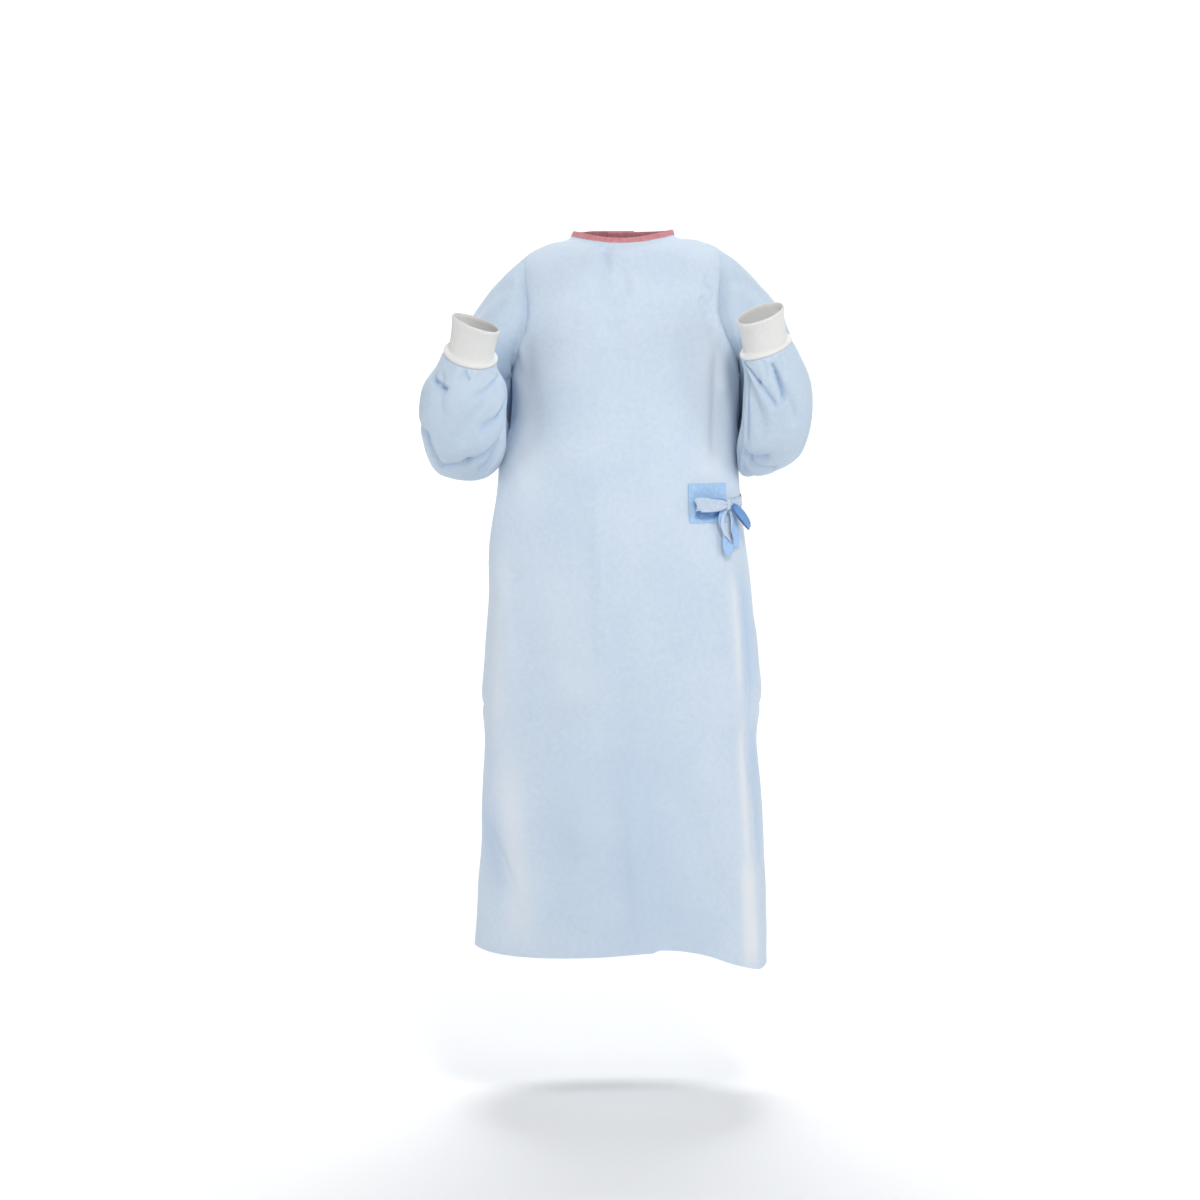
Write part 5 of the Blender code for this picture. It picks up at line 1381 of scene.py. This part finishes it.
def makeKnot():
    foot, side, out, up = knotFrame(np.array(knot["side"]), np.array(knot["up"]))
    pleats, slant, far, often = knot["foldWaves"]
    shape = bmesh.new()
    bmesh.ops.create_uvsphere(shape, u_segments=knot["cells"][0], v_segments=knot["cells"][1], radius=1.0)
    for vert in shape.verts:
        x, y, z = (math.copysign(abs(value) ** knot["square"] / 2, value) for value in vert.co)
        wander = far * math.sin(z * often)
        fold = 1 + knot["fold"] / knot["wide"] * 2 * math.cos(x * pleats + slant * z + wander)
        pinch = 1 - knot["pinch"][0] * math.cos(z * knot["pinch"][1]) ** 2
        across = side * x * knot["wide"] * pinch + up * z * knot["high"]
        vert.co = Vector(foot + across + out * (knot["out"] + y * knot["deep"] * fold))
    mesh = bpy.data.meshes.new("bowKnot")
    shape.to_mesh(mesh)
    shape.free()
    layer = mesh.uv_layers.new(name="clothUV")
    for corner, loop in zip(layer.data, mesh.loops):
        place = mesh.vertices[loop.vertex_index].co - Vector(foot)
        corner.uv = (place.dot(Vector(side)), place.z)
    mesh.shade_smooth()
    mesh.materials.append(tiePale)
    finishPiece(addObject("bowKnot", mesh), "bow_knot", "tie_cloth")


makePatch()
makeWaistTie()
# The length of tie in each, how strongly its ends are drawn together, its seed and its two sides.
makeRibbon("bowLoopRight", "bow_loop_right", loopRight, 0.135, (1, 1), 1, [tieBlue, tiePale])
# Painted shade: this loop's pale side is given the blue colour too, so that the edge of its back layer shows
# dark.
makeRibbon("bowLoopLeft", "bow_loop_left", loopLeft, 0.110, (1, 1), 2, [tieBlue, tieBlue])
# The tails' blue sides are painted lighter, a painted highlight.
makeRibbon("bowTailRight", "bow_tail_right", tailRight, 0.085, (1, 0), 3, [tieBlueLit, tiePale])
makeRibbon("bowTailLeft", "bow_tail_left", tailLeft, 0.062, (1, 0), 4, [tieBlueLit, tiePale])
makeKnot()

print("stitching")
thread = {
    "colour": "#dfe7f0",
    "shade": "#cbd8e6",
    "spacing": 0.0032,
    "length": 0.0022,
    "radius": 0.00016,
    "tilt": 0.10,
    "seed": 5,
    "variation": 0.004,
    "points": {"armhole": 260, "side": 500, "shoulder": 60, "neck": 700, "patch": 60},
    "seamInset": 0.0016,
    "seamOut": 0.0001,  # metres off the cloth
    "metresPerDegree": 0.0026,  # round the body at the armhole, and 1.3 times as much down the side
    "sideDegrees": 1.3,
    "armholeFrom": 0.02,
    "hemGap": 0.003,
    "neckGap": 0.002,
    "shoulderAngle": 89.0,
    "bindingRise": 0.0012,
    "bindingOut": 0.0009,
    "bindingShort": 1,  # degree short of its ends
    "patchOut": 0.0016,
}
threadFibre, threadTree, threadSurface = newMaterial("spun polyester sewing thread", 0.55, 0.1, 1.54)
# Fine twisted thread: a slight lengthwise variation is all that shows.
threadNoise = addNode(threadTree, "ShaderNodeTexNoise", {
    "Scale": 1 / thread["variation"], "Vector": addNode(threadTree, "ShaderNodeTexCoord").outputs["Object"]})
threadTint = addNode(threadTree, "ShaderNodeMix", {
    "data_type": "RGBA", 0: threadNoise, 6: colourOf(thread["shade"]), 7: colourOf(thread["colour"])})
addNode(threadTree, threadSurface, {"Base Color": threadTint.outputs[2]})

stitchTree, stitchInputs = newTree("seamStitches", (
    ("Spacing", "Float"), ("Stitch length", "Float"), ("Thread radius", "Float"), ("Slant", "Float"),
    ("Seed", "Int")))
seamLine = addNode(stitchTree, "GeometryNodeMeshToCurve", {0: stitchInputs["Geometry"]})
spaced = addNode(stitchTree, "GeometryNodeResampleCurve", {
    "mode": "LENGTH", "Curve": seamLine, "Length": stitchInputs["Spacing"]})
stitchForm = addNode(stitchTree, "GeometryNodeMeshUVSphere", {"Segments": 6, "Rings": 5, "Radius": 1.0})
halfLength = addNode(stitchTree, "ShaderNodeMath", {
    "operation": "MULTIPLY", 0: stitchInputs["Stitch length"], 1: 0.5})
threadRadius = stitchInputs["Thread radius"]
stitchSize = addNode(stitchTree, "ShaderNodeCombineXYZ", {0: threadRadius, 1: threadRadius, 2: halfLength})
alongSeam = addNode(stitchTree, "FunctionNodeAlignRotationToVector", {
    "axis": "Z", "Vector": addNode(stitchTree, "GeometryNodeInputTangent")})
wobble = addNode(stitchTree, "FunctionNodeRandomValue", {
    "data_type": "FLOAT", 2: -thread["tilt"], 3: thread["tilt"], "Seed": stitchInputs["Seed"]})
slant = addNode(stitchTree, "ShaderNodeMath", {
    "operation": "ADD", 0: wobble.outputs[1], 1: stitchInputs["Slant"]})
lineNormal = addNode(stitchTree, "GeometryNodeInputNamedAttribute", {
    "data_type": "FLOAT_VECTOR", "Name": "clothNormal"})
slanted = addNode(stitchTree, "FunctionNodeAxisAngleToRotation", {0: lineNormal, 1: slant})
turnedStitch = addNode(stitchTree, "FunctionNodeRotateRotation", {
    "rotation_space": "GLOBAL", 0: alongSeam, 1: slanted})
placed = addNode(stitchTree, "GeometryNodeInstanceOnPoints", {
    "Points": spaced, "Instance": stitchForm, "Rotation": turnedStitch, "Scale": stitchSize})
endTree(stitchTree, addNode(stitchTree, "GeometryNodeSetShadeSmooth", {0: placed}), ((threadFibre, True),))


def addStitches(name, lines, slot):
    # lines: pairs of points and the cloth's normals there
    points, normals, edges, start = [], [], [], 0
    for line, normal in lines:
        points.append(line)
        normals.append(normal)
        edges += [(start + i, start + i + 1) for i in range(len(line) - 1)]
        start += len(line)
    mesh = bpy.data.meshes.new(name)
    mesh.from_pydata(np.concatenate(points).tolist(), edges, [])
    mesh.attributes.new("clothNormal", "FLOAT_VECTOR", "POINT").data.foreach_set(
        "vector", np.concatenate(normals).astype(np.float32).ravel())
    piece = addObject(name, mesh)
    bakeNodes(piece, stitchTree, {
        "Spacing": thread["spacing"], "Stitch length": thread["length"], "Thread radius": thread["radius"],
        "Slant": 0.0, "Seed": thread["seed"]})
    finishPiece(piece, None, slot)


def stitchLine(angle, level, out):  # on the panels
    return clothPoint(angle, level, out), bodyNormal(angle, level)


def seamLines():
    lines = []
    out, start, points = thread["seamOut"], thread["armholeFrom"], thread["points"]
    turns = np.linspace(start, math.pi - start, points["armhole"])
    low = np.linspace(gown["hem"] + thread["hemGap"], gown["underarm"], points["side"])
    high = np.linspace(gown["shoulder"], gown["neck"] - thread["neckGap"], points["shoulder"])
    for side in (-1, 1):
        for cut, away in ((-gown["frontCut"], -1), (gown["backCut"], 1)):
            inset = away * thread["seamInset"] / thread["metresPerDegree"]
            angle = side * (90 + (cut + inset) * np.sin(turns))
            lines.append(stitchLine(angle, armholeLevel(turns), out))
            lines.append(stitchLine(side * (90 + inset / thread["sideDegrees"]) + 0 * low, low, out))
        lines.append(stitchLine(side * thread["shoulderAngle"] + 0 * high, high, out))
    return lines


def patchLines():
    insetAngle, insetLevel = patch["stitchInset"]
    a0, a1 = patch["angles"][0] + insetAngle, patch["angles"][1] - insetAngle
    z0, z1 = patch["levels"][0] + insetLevel, patch["levels"][1] - insetLevel
    corners = ((a0, z0), (a1, z0), (a1, z1), (a0, z1), (a0, z0))
    return [
        stitchLine(*np.linspace(start, end, thread["points"]["patch"]).T, thread["patchOut"])
        for start, end in zip(corners, corners[1:])]


addStitches("panelSeamStitches", seamLines(), "panel_cloth")
short = thread["bindingShort"]
neckAngle = np.linspace(binding["from"] - short, binding["to"] + short, thread["points"]["neck"])
neckLevel = 0 * neckAngle + binding["low"] + thread["bindingRise"]
addStitches("bindingStitches", [stitchLine(neckAngle, neckLevel, thread["bindingOut"])], "neck_tape")
addStitches("patchStitches", patchLines(), "tie_patch")

print("light, floor and camera")
studio = {
    "floor": -1.50,
    "radius": 5.6,
    "bend": 1.8,
    "wall": 6.5,
    "sides": 72,
    "rings": [0.5, 1.5, 3.0],
    "bendRings": 17,
    "colour": "#f6f7f8",
    "glow": 0.06,
    "world": 0.20,
    "lamps": (  # name, place, aim, size, power
        ("keyLamp", (0.45, -2.1, 1.20), (0, 0, -0.26), 0.6, 26.0),
        ("frontLamp", (0.10, -3.6, 0.30), (0, 0, -0.30), 0.8, 10.0),
        ("leftFill", (2.7, -1.3, -0.1), (0, 0, -0.60), 1.1, 14.0),
        ("rightFill", (-2.7, -1.2, 0.0), (0, 0, -0.55), 1.3, 13.5),
        ("backdropLamp", (0, 2.2, 4.6), (0, 6.4, -0.6), 3.0, 300.0),
    ),
    "lens": 78.9,
    "cameraPlace": (-0.034, -4.5, -0.27),
    "cameraDown": 4.57,
}


def makeFloor():  # a round floor that bends up into a wall
    material, tree, surface = newMaterial("matt white studio backdrop", 0.95, 0.0, 1.5)
    addNode(tree, surface, {
        "Base Color": colourOf(studio["colour"]), "Emission Color": (1, 1, 1, 1),
        "Emission Strength": studio["glow"]})
    bend, count = studio["bend"], studio["sides"]
    turns = np.linspace(0, math.pi / 2, studio["bendRings"])
    wall, rings = studio["radius"] + bend, np.array(studio["rings"])
    radii = np.concatenate([rings, studio["radius"] + bend * np.sin(turns), [wall]])
    heights = np.concatenate([0 * rings, bend - bend * np.cos(turns), [studio["wall"]]]) + studio["floor"]
    around = np.arange(count) * 2 * math.pi / count
    points = [(0.0, 0.0, studio["floor"])]
    for radius, height in zip(radii, heights):
        points += [(radius * math.cos(a), radius * math.sin(a), height) for a in around]
    faces = [(0, 1 + k, 1 + (k + 1) % count) for k in range(count)]
    for i in range(len(radii) - 1):
        for k in range(count):
            a, b = 1 + i * count + k, 1 + i * count + (k + 1) % count
            faces.append((a, a + count, b + count, b))
    mesh = bpy.data.meshes.new("studioFloor")
    mesh.from_pydata(points, [], faces)
    mesh.shade_smooth()
    mesh.materials.append(material)
    addObject("studioFloor", mesh)


makeFloor()
world = bpy.data.worlds.new("studioWorld")
world.use_nodes = True
addNode(world.node_tree, world.node_tree.nodes["Background"], {
    "Color": (1, 1, 1, 1), "Strength": studio["world"]})
bpy.context.scene.world = world
bpy.context.scene.view_settings.view_transform = "Standard"

for name, place, aim, size, power in studio["lamps"]:
    light = bpy.data.lights.new(name, "AREA")
    light.shape = "DISK"
    light.size = size
    light.energy = power
    lamp = addObject(name, light)
    lamp.visible_camera = False
    lamp.location = place
    lamp.rotation_euler = (Vector(aim) - Vector(place)).to_track_quat("-Z", "Y").to_euler()

camera = addObject("camera", bpy.data.cameras.new("camera"))
camera.data.lens = studio["lens"]
camera.data.sensor_width = 36
camera.location = studio["cameraPlace"]
camera.rotation_euler = (math.radians(90 - studio["cameraDown"]), 0, 0)
bpy.context.scene.camera = camera
